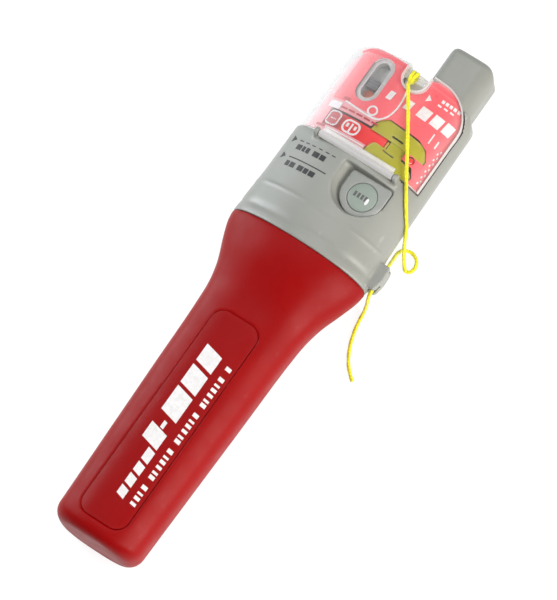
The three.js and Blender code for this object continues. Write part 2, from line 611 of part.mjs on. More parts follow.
// The cap's outline seen from the front, drawn in by margin.
function capOutline(margin) {
  const left = -40;
  const top = CAP.top - margin;
  const right = CAP.right - margin;
  const notchRadius = (NOTCH.right - NOTCH.left) / 2 + margin;
  const notchX = (NOTCH.right + NOTCH.left) / 2;
  const arc = CAP_ARC - margin;
  const shape = new THREE.Shape();
  shape.moveTo(left, CAP.bottom);
  shape.lineTo(right, CAP.bottom);
  shape.lineTo(right, top - arc);
  shape.absarc(right - arc, top - arc, arc, 0, Math.acos((notchX + notchRadius - right + arc) / arc));
  shape.lineTo(notchX + notchRadius, NOTCH.bottom + notchRadius - 2 * margin);
  shape.absarc(notchX, NOTCH.bottom + notchRadius - 2 * margin, notchRadius, 0, Math.PI, true);
  shape.lineTo(notchX - notchRadius, top);
  shape.lineTo(-CAP.halfWidth + CAP_CORNER, top);
  shape.absarc(-CAP.halfWidth + CAP_CORNER, top - CAP_CORNER + margin, CAP_CORNER - margin,
    Math.PI / 2, Math.PI);
  shape.lineTo(-CAP.halfWidth + margin, CAP.bottom + 4);
  shape.lineTo(left, CAP.bottom + 4);
  return shape;
}

function clearCap() {
  const sheet = cut(crownBar(CAP.bottom, 178, 0), crownBar(130, 180, CAP.wall));
  const rightRear = block(0, 40, 130, 190, 0, HEAD.centre);
  const front = cut(common(sheet, prism(capOutline(0), 5, 40),
    block(-40, 40, 130, 190, 6.4, 40)), rightRear);
  const solidBar = common(crownBar(CAP.bottom, 178, 0), prism(capOutline(0), 5, 40));
  const insideBar = prism(capOutline(CAP.wall), 0, 45);
  // the end wall closes the top of the cap, left of the column
  const endWall = common(cut(solidBar, insideBar), block(-40, COLUMN.left - 0.8, 164, 190, 6.4, 40));
  // the notch keeps only a shallow rim in front of the column
  const nearNotch = block(NOTCH.left - 3, 40, 160, 190, 0, HEAD.centre + 9.9);
  const barrel = rodX(HINGE.y, HINGE.z, HINGE.left, HINGE.right, HINGE.barrel, 16);
  const strap = block(HINGE.left + 0.6, HINGE.right - 0.6, HINGE.y, CAP.bottom + 1.2,
    HINGE.z - 0.6, HINGE.z + 0.5);
  const eyeletBar = rodX(170.9, 24.6, NOTCH.left - 0.5, NOTCH.right + 0.5, 0.8, 12);
  return cut(join(front, cut(endWall, nearNotch), strap, barrel, eyeletBar),
    rodX(HINGE.y, HINGE.z, -20, 20, HINGE.bore, 16));
}
addTo(cap, "clear_cap", clearCap(), paint(0xeef2f4, 0.08, 0, 0.3));

// The printed film behind the cap's face, with windows over the switch and over the clip.
const filmWindows = join(
  prism(stadium(TRACK.halfWidth + 0.4, TRACK.from - 0.4, TRACK.to + 1), 5, 40),
  block(-1, 18.6, 142, 156.6, 5, 40));
addTo(cap, "cap_label", cut(
  crownSheet(prism(capOutline(1.7), HEAD.centre + 1.5, 40), CAP.wall + GAP, CAP.wall + 0.5),
  filmWindows), paint(0xf0606c, 0.4, 0, 0.7));

addTo(cap, "hinge_pin", rodX(HINGE.y, HINGE.z, EAR_LEFT + 0.7, EAR_RIGHT + EAR.thick - 0.7,
  HINGE.pin, 12), STEEL());

// ---------------------------------------------------------------- trip cord
// The route in X, y from the grip's end, and Z: from the knot on the cap's eyelet down over the
// face, off the side, round a small loop on the table, up through the lug, and out to a free end.
const CORD_ROUTE = [
  [1.05, 168.55, 26.1], [1.3, 167.9, 26.65], [2, 166.9, 26.9], [4, 163.9, 26.75],
  [6.8, 159.7, 26.25], [9.5, 155.4, 25.55], [12.2, 151.1, 24.75], [14.8, 146.8, 23.7],
  [17.4, 142.5, 22.25], [19.9, 138.5, 20.5], [22, 135.2, 18.2], [23.6, 132.6, 15.1],
  [24.4, 130.5, 12], [24.8, 128.9, 8.4], [25.6, 127, 4.4], [26.6, 125.4, 1.5],
  [27.7, 124.4, 0.68], [29, 124.9, 0.62], [29.5, 126.8, 0.62], [28.5, 129.1, 0.62],
  [26.1, 130.3, 0.62], [23.8, 129.5, 1.5], [23.3, 127.4, 3.8], [24.3, 123.1, 8],
  [25.2, 120.4, 11.4], [25.5, 118.6, 12.2], [25.5, 115.3, 12.2], [25.5, 111.6, 12.2],
  [25.5, 109.7, 11.7], [25.4, 108.7, 9.6], [25.2, 108, 6.6], [24.9, 106.8, 3.2],
  [24.7, 105.1, 1.1], [24.9, 102.8, 0.64], [25.5, 99.9, 0.62], [27.1, 95.1, 0.62],
  [29.5, 90.8, 0.62], [31.6, 88.4, 0.62], [33.9, 86.4, 0.62],
];
const cord = new THREE.Group();
const cordPath = new THREE.CatmullRomCurve3(
  CORD_ROUTE.map((point) => new THREE.Vector3(...point)), false, "centripetal");
addTo(cord, "trip_cord", new THREE.ExtrudeGeometry(wireSection(CORD_DIAMETER / 2, 8),
  { steps: 66, bevelEnabled: false, extrudePath: cordPath }), YELLOW());
addTo(cord, "cord_knot", new THREE.TorusGeometry(1.85, 0.65, 7, 14)
  .rotateY(Math.PI / 2).translate(1, 170.9, 24.6), YELLOW());

// ---------------------------------------------------------------- assembly
const beacon = new THREE.Group();
beacon.add(grip, power, neck, head, electronics, controls, antenna, cap, cord);
beacon.position.y = -LENGTH / 2;

export default beacon;
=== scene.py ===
import json
import math

import bpy
import numpy as np
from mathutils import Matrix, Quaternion, Vector
from mathutils.geometry import delaunay_2d_cdt


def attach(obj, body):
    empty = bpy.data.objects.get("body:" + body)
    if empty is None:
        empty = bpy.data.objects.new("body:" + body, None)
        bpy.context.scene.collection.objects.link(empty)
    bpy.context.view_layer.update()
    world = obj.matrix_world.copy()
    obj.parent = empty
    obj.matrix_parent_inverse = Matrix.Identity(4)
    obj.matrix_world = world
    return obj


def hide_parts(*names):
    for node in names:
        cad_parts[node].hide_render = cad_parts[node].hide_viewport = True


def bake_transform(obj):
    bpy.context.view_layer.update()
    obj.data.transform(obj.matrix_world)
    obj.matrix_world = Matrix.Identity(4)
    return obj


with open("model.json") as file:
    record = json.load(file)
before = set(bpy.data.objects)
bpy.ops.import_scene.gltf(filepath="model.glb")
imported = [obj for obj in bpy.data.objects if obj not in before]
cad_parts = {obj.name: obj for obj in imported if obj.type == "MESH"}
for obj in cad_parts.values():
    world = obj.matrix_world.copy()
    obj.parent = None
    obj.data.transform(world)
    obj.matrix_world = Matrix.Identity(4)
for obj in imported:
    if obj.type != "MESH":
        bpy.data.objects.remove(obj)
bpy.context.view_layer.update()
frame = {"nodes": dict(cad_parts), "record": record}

# ---------------------------------------------------------------- driving dimensions
# Millimetres: x across the face, y from the grip's end, z out of the face, as in the CAD source.
MM = 0.001
HALF_LENGTH = 94.3
LENGTH = 188.6
SEAM_Y = 109
SEAM_GAP = 0.03  # half of the fine gap between grip and head
FLARE_START, FLARE_END = 84, 107
GAP = 0.3  # between separate pieces
WALL = 1.8  # of the grip and the casing
CENTRE = 12.2  # height of the head's widest line
CROWN = 13.8  # height of the cap's crown above that line
CAP_HALF = 22.9
PARTING_Z = 6.15  # where the front shell meets the rear cover
BAY_HALF = 17.8  # half-width of the bay under the cap
BAY_CROWN = 7  # height of its floor above the widest line
HINGE_Y, HINGE_Z = 140.85, 25.5
HINGE_BORE = 0.75
EYELET_Y, EYELET_Z = 170.9, 24.6  # the bar across the cap's notch that the cord is tied to
RIVET = (14.4, 149.2)
TRACK_X = -8.95
BUTTON = (9, 131.3)
BUTTON_RADIUS = 4.5
CORD_RADIUS = 0.6


def place(points):
    """Millimetres in the drawing's own axes to metres in the row frame."""
    return (np.asarray(points, float) - (0, HALF_LENGTH, 0)) * MM


def added(name, data):
    """A new object in the scene."""
    obj = bpy.data.objects.new(name, data)
    bpy.context.scene.collection.objects.link(obj)
    return obj


# ---------------------------------------------------------------- camera
def make_camera():
    camera = added("camera", bpy.data.cameras.new("camera"))
    camera.data.sensor_width = 36
    camera.data.lens = 250
    azimuth, elevation, roll = (math.radians(a) for a in (49.66, 70.0, -15.94))
    back = Vector((math.sin(azimuth) * math.cos(elevation),
                   -math.cos(azimuth) * math.cos(elevation), math.sin(elevation)))
    camera.rotation_mode = "QUATERNION"
    camera.rotation_quaternion = (-back).to_track_quat("-Z", "Y") @ Quaternion((0, 0, 1), roll)
    camera.location = Vector(place((3.4, 93.08, 12))) + back * 1.2575
    bpy.context.scene.camera = camera


make_camera()


# ---------------------------------------------------------------- meshes
def piece(name, corners, faces, smooth=True):
    """A mesh object from corners in millimetres."""
    mesh = bpy.data.meshes.new(name)
    mesh.from_pydata(place(corners).tolist(), [], faces)
    mesh.update()
    if smooth:
        mesh.shade_smooth()
    return added(name, mesh)


def finished(obj, material, body="root", replaces=()):
    """Dresses a piece, hangs it on its body and hides the CAD nodes that it stands for."""
    obj.data.materials.clear()
    for one in material if isinstance(material, (list, tuple)) else [material]:
        obj.data.materials.append(one)
    if replaces:
        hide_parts(*replaces)
    if body:
        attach(obj, body)
    return obj


def dressed(obj, slot, body, *nodes):
    """A finished piece in its slot's own look."""
    return finished(obj, LOOKS[slot], body, nodes)


def loft_faces(rows, count):
    """The sides between rows of count corners, and a fan over each end."""
    faces = [((k + 1) * count + i, (k + 1) * count + (i + 1) % count,
              k * count + (i + 1) % count, k * count + i)
             for k in range(rows - 1) for i in range(count)]
    first, last, top = rows * count, rows * count + 1, (rows - 1) * count
    for i in range(count):
        j = (i + 1) % count
        faces.append((first, i, j))
        faces.append((last, top + j, top + i))
    return faces


def loft(name, rings):
    """A closed solid through rings of equal count, which run from +x towards +z, rings towards +y."""
    rings = np.asarray(rings, float)
    corners = np.vstack([rings.reshape(-1, 3), rings[0].mean(0), rings[-1].mean(0)])
    return piece(name, corners, loft_faces(len(rings), rings.shape[1]))


def applied(obj):
    """Replaces the object's mesh by its evaluated one and drops its modifiers."""
    graph = bpy.context.evaluated_depsgraph_get()
    mesh = bpy.data.meshes.new_from_object(obj.evaluated_get(graph))
    old = obj.data
    obj.modifiers.clear()
    obj.data = mesh
    bpy.data.meshes.remove(old)
    return obj


def combine(base, others, operation):
    for other in others:
        modifier = base.modifiers.new("combine", "BOOLEAN")
        modifier.operation = operation
        modifier.solver = "MANIFOLD"
        modifier.object = other
        applied(base)
        bpy.data.objects.remove(other)
    return base


def join(base, *others):
    return combine(base, others, "UNION")


def cut(base, *others):
    return combine(base, others, "DIFFERENCE")


def common(base, *others):
    return combine(base, others, "INTERSECT")


def moulded(obj, voxel, passes=2):
    """Turns sharp cut edges into the small even radii of a moulding."""
    remesh = obj.modifiers.new("remesh", "REMESH")
    remesh.mode = "VOXEL"
    remesh.voxel_size = voxel * MM
    relax = obj.modifiers.new("relax", "SMOOTH")
    relax.factor = 0.5
    relax.iterations = passes
    applied(obj)
    obj.data.shade_smooth()
    return obj


def cast(obj, name, voxel, material, body, replaces=(), passes=2):
    """A moulded, named and dressed piece."""
    moulded(obj, voxel, passes)
    obj.name = name
    finished(obj, material, body, replaces)


# ---------------------------------------------------------------- simple solids
def full_turn(count):
    return np.linspace(0, 2 * np.pi, count, endpoint=False)


def across_y(outline, y):
    """A ring in the plane at y from an outline in x and z."""
    outline = np.asarray(outline, float)
    return np.column_stack([outline[:, 0], np.full(len(outline), y), outline[:, 1]])


def across_z(outline, z):
    """A ring in the plane at z from an outline in x and y."""
    return np.column_stack([outline, np.full(len(outline), z)])


def across_x(outline, x):
    """A ring in the plane at x from an outline in y and z."""
    return np.column_stack([np.full(len(outline), x), outline])


def box(x0, x1, y0, y1, z0, z1):
    return beam([(x0, z0), (x1, z0), (x1, z1), (x0, z1)], y0, y1)


def beam(outline, y0, y1):
    """A section in x and z, anticlockwise seen from -y, carried along y."""
    return loft("beam", [across_y(outline, y) for y in (y0, y1)])


def prism(outline, z0, z1):
    """An outline in x and y, anticlockwise seen from +z, carried along z."""
    flat = np.array(outline, float)[::-1]
    return loft("prism", [across_z(flat, z) for z in (z0, z1)])


def circle(x, y, radius, count=48):
    turn = full_turn(count)
    return [(x + radius * math.cos(t), y + radius * math.sin(t)) for t in turn]


def arc(x, y, radius, start, end, count=10):
    """Points on an arc, whose angles are in quarter turns."""
    turn = np.linspace(start, end, count) * np.pi / 2
    return [(x + radius * math.cos(t), y + radius * math.sin(t)) for t in turn]


def rounded(x0, y0, x1, y1, radius, count=8):
    return (arc(x1 - radius, y0 + radius, radius, -1, 0, count)
            + arc(x1 - radius, y1 - radius, radius, 0, 1, count)
            + arc(x0 + radius, y1 - radius, radius, 1, 2, count)
            + arc(x0 + radius, y0 + radius, radius, 2, 3, count))


def rod_z(x, y, z0, z1, radius, count=48):
    return prism(circle(x, y, radius, count), z0, z1)


def rod_y(x, z, y0, y1, radius, count=48):
    return beam(circle(x, z, radius, count), y0, y1)


def rod_x(y, z, x0, x1, radius, count=40):
    return loft("rod", [across_x(circle(y, z, radius, count), x) for x in (x0, x1)])


# ---------------------------------------------------------------- sections
GRIP_WIDTHS = np.array([
    (5, 15.1), (56, 16.4), (73, 16.7), (80.5, 17), (86, 17.4), (90, 18.2), (94.5, 19.5),
    (98, 21.2), (101.5, 22.5), (104.5, 23.7), (107, 24.3), (109, 24.3), (112, 24.3),
    (117, 24), (125, 23.6), (142, 23.4), (190, 22.9)])
GRIP_THICK, HEAD_FRONT, HEAD_REAR = 21.8, 25.4, -1
END_RADIUS, END_EDGE = 5, 3.2
SIDES = 144


def half_width(y):
    """The half-width at y, eased over 2.5 mm so that the flare has no corners."""
    near = np.linspace(-2.5, 2.5, 11)
    return float(np.mean(np.interp(y + near, GRIP_WIDTHS[:, 0], GRIP_WIDTHS[:, 1])))


def round_in(y, radius):
    return 0 if y >= radius else radius - math.sqrt(radius ** 2 - (radius - y) ** 2)


def section(y):
    """Half-width, front, rear, centre height and power of the body's superellipse at y."""
    t = min(max((y - FLARE_START) / (FLARE_END - FLARE_START), 0), 1)
    flare = t * t * (3 - 2 * t)

    def mix(a, b):
        return a + (b - a) * flare
    edge = round_in(y, END_EDGE)
    # a raised line across the head and a soft groove below it
    line = 0.16 * math.exp(-((y - 120.6) / 0.35) ** 2) - 0.22 * math.exp(-((y - 112.6) / 1.1) ** 2)
    return (line + half_width(y) - round_in(y, END_RADIUS), mix(GRIP_THICK, HEAD_FRONT) - edge + line,
            mix(-0.5, HEAD_REAR) + edge, mix(GRIP_THICK / 2, CENTRE), mix(2.6, 2.05))


def ring(y, shape, inset=0, floor=0, count=SIDES):
    half, front, rear, centre, power = shape
    turn = full_turn(count)

    def bend(value):
        return np.sign(value) * np.abs(value) ** (2 / power)
    up = bend(np.sin(turn))
    height = np.where(up > 0, front - centre, centre - rear) - inset
    return np.column_stack([(half - inset) * bend(np.cos(turn)), np.full(count, y),
                            np.maximum(centre + height * up, floor + inset)])


def body_loft(stations, inset=0, shift=0):
    return loft("body", [ring(y, section(y - shift), inset) for y in stations])


def bay_core(inset, y0, y1):
    """The bay's crowned floor, filled down to the back."""
    shape = (BAY_HALF, CENTRE + BAY_CROWN, -30, CENTRE, 2)
    crown = loft("bay", [ring(y, shape, inset, -20) for y in (y0, y1)])
    crown = common(crown, box(-40, 40, y0, y1, CENTRE - 1, 40))
    return join(crown, box(inset - BAY_HALF, BAY_HALF - inset, y0, y1, inset, CENTRE - 0.01))


def crown_z(depth):
    """Height of the cap's crown at that depth below its outer face."""
    def height(x, y):
        share = np.clip(1 - (x / (CAP_HALF - depth)) ** 2, 0, 1)
        return CENTRE + (CROWN - depth) * np.sqrt(share)
    return height


def body_z(depth):
    """Height of the grip's or head's front at that depth below its face."""
    def height(x, y):
        shapes = np.array([section(v) for v in np.ravel(y)])
        half, front, _, centre, power = shapes.T
        share = np.clip(1 - np.abs(np.ravel(x) / (half - depth)) ** power, 0, 1)
        return (centre + (front - centre - depth) * share ** (1 / power)).reshape(np.shape(y))
    return height


def level(z):
    return lambda x, y: np.full(np.shape(x), float(z))


# ---------------------------------------------------------------- plates that follow a surface
def inside(points, loops):
    """Even-odd test of many points against several loops."""
    hit = np.zeros(len(points), bool)
    x, y = points[:, 0], points[:, 1]
    for loop in loops:
        a = np.array(loop)
        b = np.roll(a, -1, axis=0)
        for (ax, ay), (bx, by) in zip(a, b):
            if ay != by:
                crossing = (ay > y) != (by > y)
                hit ^= crossing & (x < (bx - ax) * (y - ay) / (by - ay) + ax)
    return hit


def resampled(loop, step):
    out = []
    for a, b in zip(loop, loop[1:] + loop[:1]):
        a, b = np.array(a, float), np.array(b, float)
        length = np.linalg.norm(b - a)
        if length < 1e-6:
            continue
        count = max(1, math.ceil(length / step))
        out += [tuple(a + (b - a) * i / count) for i in range(count)]
    return out


def plate_mesh(loops, top, bottom, step=0.8):
    """Corners and faces of a closed piece between two height functions, outline and holes in loops."""
    loops = [resampled(list(loop), step) for loop in loops]
    points, edges = [], []
    for loop in loops:
        start, count = len(points), len(loop)
        points += loop
        edges += [(start + i, start + (i + 1) % count) for i in range(count)]
    rim = np.array(points)
    low, high = rim.min(0), rim.max(0)
    grid = np.array([(x, y) for x in np.arange(low[0] + step / 2, high[0], step)
                     for y in np.arange(low[1] + step / 2, high[1], step)]).reshape(-1, 2)
    if len(grid):
        grid = grid[inside(grid, loops)]
    if len(grid):
        far = np.array([np.min(np.sum((rim - g) ** 2, axis=1)) for g in grid])
        grid = grid[far > (0.45 * step) ** 2]
    everything = [Vector(p) for p in points] + [Vector(p) for p in grid]
    flat, _, triangles = delaunay_2d_cdt(everything, edges, [], 0, 1e-6)[:3]
    flat = np.array([tuple(v) for v in flat])
    triangles = np.array(triangles)
    middle = flat[triangles].mean(1)
    triangles = triangles[inside(middle, loops)]
    side = np.cross(flat[triangles[:, 1]] - flat[triangles[:, 0]],
                    flat[triangles[:, 2]] - flat[triangles[:, 0]])
    triangles[side < 0] = triangles[side < 0][:, ::-1]
    used = sorted(set(triangles.ravel()))
    index = {old: new for new, old in enumerate(used)}
    flat = flat[used]
    count = len(flat)
    x, y = flat[:, 0], flat[:, 1]
    corners = np.vstack([np.column_stack([x, y, top(x, y)]), np.column_stack([x, y, bottom(x, y)])])
    faces = []
    seen = {}
    for a, b, c in triangles:
        a, b, c = index[a], index[b], index[c]
        faces.append((a, b, c))
        faces.append((count + c, count + b, count + a))
        for edge in ((a, b), (b, c), (c, a)):
            seen[edge] = True
    for a, b in seen:
        if (b, a) not in seen:
            faces.append((b, a, count + a, count + b))
    return corners, faces


def stack(meshes):
    """Several (corners, faces) as one."""
    corners, faces, start = [], [], 0
    for points, tris in meshes:
        corners.append(points)
        faces += [tuple(start + i for i in face) for face in tris]
        start += len(points)
    return np.vstack(corners), faces


def sharp_by_angle(obj, degrees=35):
    obj.data.shade_smooth()
    obj.data.set_sharp_from_angle(angle=math.radians(degrees))
    return obj


def plate(name, loops, top, bottom, step=0.8, edge=0.0):
    obj = sharp_by_angle(piece(name, *plate_mesh(loops, top, bottom, step)))
    if edge:
        bevel = obj.modifiers.new("edge", "BEVEL")
        bevel.width = edge * MM
        bevel.segments = 2
        bevel.limit_method = "ANGLE"
        bevel.angle_limit = math.radians(50)
        applied(obj)
        sharp_by_angle(obj, 60)
    return obj


def marks(name, loops, surface, lift=0.0, thick=0.06, step=0.8):
    """Thin marks that lie on a surface, printed ones and one painted glint; each loop is one mark, or
    (outline, hole, ...).
    """
    made = []
    for loop in loops:
        group = loop if isinstance(loop[0], list) else [loop]
        made.append(plate_mesh(group, lambda x, y: surface(x, y) + lift + thick,
                               lambda x, y: surface(x, y) + lift, step))
    return piece(name, *stack(made), smooth=False)


def bar(x0, y0, x1, y1, lean=0.0):
    """A rectangle whose top is shifted sideways by lean."""
    return [(x0, y0), (x1, y0), (x1 + lean, y1), (x0 + lean, y1)]


def stroke(route, width):
    """A line of constant width along a route."""
    route = np.array(route, float)
    along = np.gradient(route, axis=0)
    side = np.column_stack([-along[:, 1], along[:, 0]])
    side /= np.linalg.norm(side, axis=1)[:, None]
    left, right = route + side * width / 2, route - side * width / 2
    return [tuple(p) for p in right] + [tuple(p) for p in left[::-1]]


# ---------------------------------------------------------------- materials
class Surface:
    """A small helper round one material's node tree."""

    def __init__(self, name, **sockets):
        self.material = bpy.data.materials.new(name)
        self.material.use_nodes = True
        self.tree = self.material.node_tree
        self.shader = self.tree.nodes["Principled BSDF"]
        self.place = self.node("ShaderNodeTexCoord").outputs["Object"]
        for socket, value in sockets.items():
            self.shader.inputs[socket.replace("_", " ")].default_value = value

    def node(self, kind, links=(), **settings):
        made = self.tree.nodes.new(kind)
        for key, value in settings.items():
            if key in made.inputs:
                made.inputs[key].default_value = value
            else:
                setattr(made, key, value)
        for key, source in dict(links).items():
            self.tree.links.new(source, made.inputs[key])
        return made

    def noise(self, scale, detail=3.0, rough=0.55, stretch=(1, 1, 1)):
        moved = self.node("ShaderNodeMapping", {"Vector": self.place}, Scale=stretch)
        made = self.node("ShaderNodeTexNoise", {"Vector": moved.outputs[0]}, Scale=scale, Detail=detail,
                         Roughness=rough)
        return made.outputs["Fac"]

    def remap(self, value, low, high, to_low, to_high):
        ends = {"From Min": low, "From Max": high, "To Min": to_low, "To Max": to_high}
        return self.node("ShaderNodeMapRange", {"Value": value}, **ends).outputs[0]

    def vary(self, scale, detail, low, high):
        """A value that wanders between low and high."""
        return self.remap(self.noise(scale, detail), 0.3, 0.7, low, high)

    def blend(self, share, one, two):
        made = self.node("ShaderNodeMix", data_type="RGBA")
        self.tree.links.new(share, made.inputs["Factor"])
        for socket, value in ((6, one), (7, two)):
            if hasattr(value, "links"):
                self.tree.links.new(value, made.inputs[socket])
            else:
                made.inputs[socket].default_value = (*value, 1)
        return made.outputs[2]

    def link(self, source, socket):
        self.tree.links.new(source, self.shader.inputs[socket])

    def bump(self, height, strength, distance):
        made = self.node("ShaderNodeBump", {"Height": height}, Strength=strength, Distance=distance * MM)
        self.link(made.outputs[0], "Normal")


def plastic(name, colour, rough=0.42, grain=0.05, shift=0.12, coat=0.0, wear=0.25, shine=0.5):
    """Moulded plastic: fine spark-eroded grain, slow colour drift, scuffed lighter edges."""
    surface = Surface(name, Coat_Weight=coat, Coat_Roughness=0.12, Specular_IOR_Level=shine)
    drift = surface.noise(45, 4)
    darker = tuple(c * (1 - shift) for c in colour)
    lighter = tuple(min(1, c * (1 + shift)) for c in colour)
    base = surface.blend(surface.remap(drift, 0.3, 0.7, 0, 1), darker, lighter)
    edge = surface.node("ShaderNodeNewGeometry").outputs["Pointiness"]
    scuffs = surface.node("ShaderNodeMath", operation="MULTIPLY")
    surface.tree.links.new(surface.remap(edge, 0.505, 0.56, 0, wear), scuffs.inputs[0])
    surface.tree.links.new(surface.remap(surface.noise(400, 2), 0.35, 0.65, 0.2, 1), scuffs.inputs[1])
    pale = tuple(c + (1 - c) * 0.35 for c in colour)
    base = surface.blend(scuffs.outputs[0], base, pale)
    surface.link(base, "Base Color")
    surface.link(surface.remap(surface.noise(160, 5), 0.25, 0.75, rough - 0.07, rough + 0.09),
                 "Roughness")
    surface.bump(surface.noise(2600, 3), 0.35, grain)
    return surface.material


def clear_plastic(name, tint, low, high, rough):
    """Clear moulding: see-through face on, milky along steep edges, with faint flow marks."""
    surface = Surface(name, IOR=1.5, Base_Color=(*tint, 1), Coat_Weight=0.6, Coat_Roughness=0.05)
    facing = surface.node("ShaderNodeLayerWeight", Blend=0.35)
    surface.link(surface.remap(facing.outputs["Facing"], 0.05, 0.85, low, high), "Alpha")
    surface.link(surface.vary(90, 3, rough, rough + 0.1), "Roughness")
    surface.bump(surface.noise(120, 2, stretch=(1, 0.4, 1)), 0.15, 0.25)
    return surface.material


def film(name, colour, alpha, shift=0.1):
    """Screen-printed film: ink with a fine dot and slightly uneven cover."""
    surface = Surface(name, Coat_Weight=0.3, Coat_Roughness=0.1)
    dots = surface.node("ShaderNodeTexVoronoi", {"Vector": surface.place}, Scale=2600)
    ink = surface.remap(dots.outputs["Distance"], 0.1, 0.7, 0, 1)
    mixed = surface.blend(ink, colour, tuple(min(1, c + shift) for c in colour))
    clouds = surface.vary(60, 3, 0, 0.35)
    surface.link(surface.blend(clouds, mixed, tuple(c * 0.86 for c in colour)), "Base Color")
    surface.link(surface.vary(200, 2, 0.25, 0.45), "Roughness")
    surface.link(surface.vary(70, 3, alpha - 0.07, alpha + 0.07), "Alpha")
    surface.bump(dots.outputs["Distance"], 0.05, 0.05)
    return surface.material


def printed(name, colour, rough=0.4):
    """Opaque print ink with pinholes and a slight relief."""
    surface = Surface(name)
    base = surface.blend(surface.remap(surface.noise(900, 3), 0.3, 0.75, 0, 1), colour,
                         tuple(c * 0.8 + 0.02 for c in colour))
    surface.link(base, "Base Color")
    surface.link(surface.vary(300, 2, rough - 0.08, rough + 0.1), "Roughness")
    surface.bump(surface.noise(1500, 2), 0.2, 0.03)
    return surface.material


def braided(name, colour):
    """Braided cord: diagonal strands crossing both ways, with painted shade darkening the grooves between
    them.
    """
    surface = Surface(name, Sheen_Weight=0.35, Sheen_Roughness=0.5)
    waves = []
    for lean in (0.8, -0.8):
        moved = surface.node("ShaderNodeMapping", {"Vector": surface.place}, Rotation=(0.3, lean, lean))
        wave = surface.node("ShaderNodeTexWave", {"Vector": moved.outputs[0]}, Scale=420, Distortion=1.2)
        waves.append(wave.outputs["Fac"])
    weave = surface.node("ShaderNodeMath", operation="MULTIPLY")
    for socket, wave in enumerate(waves):
        surface.tree.links.new(wave, weave.inputs[socket])
    # painted shade: the colour is darker where the weave is low, in the grooves
    surface.link(surface.blend(surface.remap(weave.outputs[0], 0.05, 0.6, 0, 1),
                               tuple(c * 0.78 for c in colour), colour), "Base Color")
    surface.link(surface.vary(2500, 2, 0.6, 0.85), "Roughness")
    surface.bump(weave.outputs[0], 0.6, 0.12)
    return surface.material


def metal(name, colour, rough=0.3, brushed=(1, 12, 12)):
    """Worked metal: drawn or turned lines, and a slow change of polish."""
    surface = Surface(name, Metallic=1.0)
    lines = surface.noise(700, 4, stretch=brushed)
    surface.link(surface.blend(surface.remap(lines, 0.3, 0.7, 0, 1), tuple(c * 0.8 for c in colour),
                               colour), "Base Color")
    surface.link(surface.vary(120, 3, rough - 0.08, rough + 0.1), "Roughness")
    surface.bump(lines, 0.15, 0.05)
    return surface.material


def circuit(name):
    """Coated board: green mask with fine copper traces showing through."""
    surface = Surface(name, Coat_Weight=0.4)
    tracks = surface.node("ShaderNodeTexBrick", {"Vector": surface.place}, Scale=260,
                          Color1=(0.01, 0.11, 0.04, 1), Color2=(0.015, 0.14, 0.05, 1),
                          Mortar=(0.05, 0.3, 0.1, 1), **{"Mortar Size": 0.03})
    surface.link(tracks.outputs["Color"], "Base Color")
    surface.link(surface.vary(300, 2, 0.3, 0.45), "Roughness")
    surface.bump(tracks.outputs["Fac"], 0.3, 0.03)
    return surface.material


LOOKS = {
    "grip_red": plastic("red grip plastic", (0.30, 0.0004, 0.0008), 0.4, 0.04, 0.06, 0.0, 0.02, 0.14),
    "label_red": plastic("red panel film", (0.29, 0.0004, 0.0008), 0.36, 0.03, 0.05, 0.0, 0.01, 0.14),
    "head_grey": plastic("warm grey plastic", (0.29, 0.297, 0.27), 0.34, 0.05, 0.06, 0.0, 0.25, 0.6),
    "neck_grey": plastic("neck plastic", (0.24, 0.25, 0.24), 0.5),
    "seal_black": plastic("seal rubber", (0.015, 0.015, 0.016), 0.75, 0.08, 0.2, 0.0, 0.05),
    "steel": metal("stainless steel", (0.62, 0.62, 0.63)),
    "cell_blue": plastic("cell sleeve", (0.02, 0.08, 0.3), 0.3, 0.02, 0.1, 0.5, 0.1),
    "carrier_dark": plastic("carrier plastic", (0.04, 0.042, 0.045), 0.5),
    "board_green": circuit("coated circuit board"),
    "antenna_ceramic": plastic("patch ceramic", (0.62, 0.53, 0.38), 0.6, 0.1, 0.06),
    "chip_black": plastic("chip epoxy", (0.014, 0.014, 0.016), 0.55, 0.06),
    "reed_glass": clear_plastic("reed glass", (0.6, 0.85, 0.75), 0.35, 0.9, 0.05),
    "led_white": plastic("lamp lens", (0.75, 0.8, 0.74), 0.25, 0.02, 0.04, 0.5, 0.0),
    "button_grey": plastic("button membrane", (0.27, 0.32, 0.28), 0.38, 0.05, 0.05, 0.0, 0.2),
    "plate_grey": plastic("button surround", (0.30, 0.31, 0.29), 0.38, 0.05, 0.05, 0.0, 0.35),
    "track_grey": plastic("switch frame", (0.52, 0.52, 0.5), 0.4, 0.04, 0.06, 0.1, 0.4),
    "slider_dark": plastic("slider block", (0.14, 0.14, 0.145), 0.5, 0.05, 0.15),
    "disc_orange": plastic("marker disc", (0.85, 0.16, 0.06), 0.6, 0.15, 0.45),
    "tape_red": plastic("coated spring tape", (1.0, 0.006, 0.008), 0.25, 0.02, 0.08, 0.0, 0.1, 0.3),
    "rivet_red": plastic("rivet", (0.8, 0.01, 0.012), 0.3, 0.02, 0.1, 0.4),
    "tip_yellow": plastic("tape tip", (0.9, 0.55, 0.03), 0.4, 0.03, 0.08),
    "clip_olive": plastic("olive plastic", (0.44, 0.42, 0.006), 0.3, 0.03, 0.12, 0.0, 0.2, 0.35),
    "clear_plastic": clear_plastic("clear polycarbonate", (0.96, 0.95, 0.95), 0.02, 0.6, 0.05),
    "film_pink": film("printed pink film", (1.0, 0.10, 0.13), 0.95, 0.04),
    "cord_yellow": braided("yellow braid", (1.0, 0.93, 0.01)),
}
PALE_FILM = film("pale printed film", (1.0, 0.42, 0.45), 0.8, 0.05)
MILKY = clear_plastic("milky clear plastic", (0.92, 0.9, 0.89), 0.5, 0.85, 0.1)
# white ink for the prints, also used for the button's painted highlight
WHITE_INK_AND_GLINT = printed("white print and painted glint", (0.9, 0.88, 0.88))
BLACK_INK = printed("black print", (0.012, 0.012, 0.013))
DARK_LINE = printed("grey print", (0.10, 0.105, 0.10))
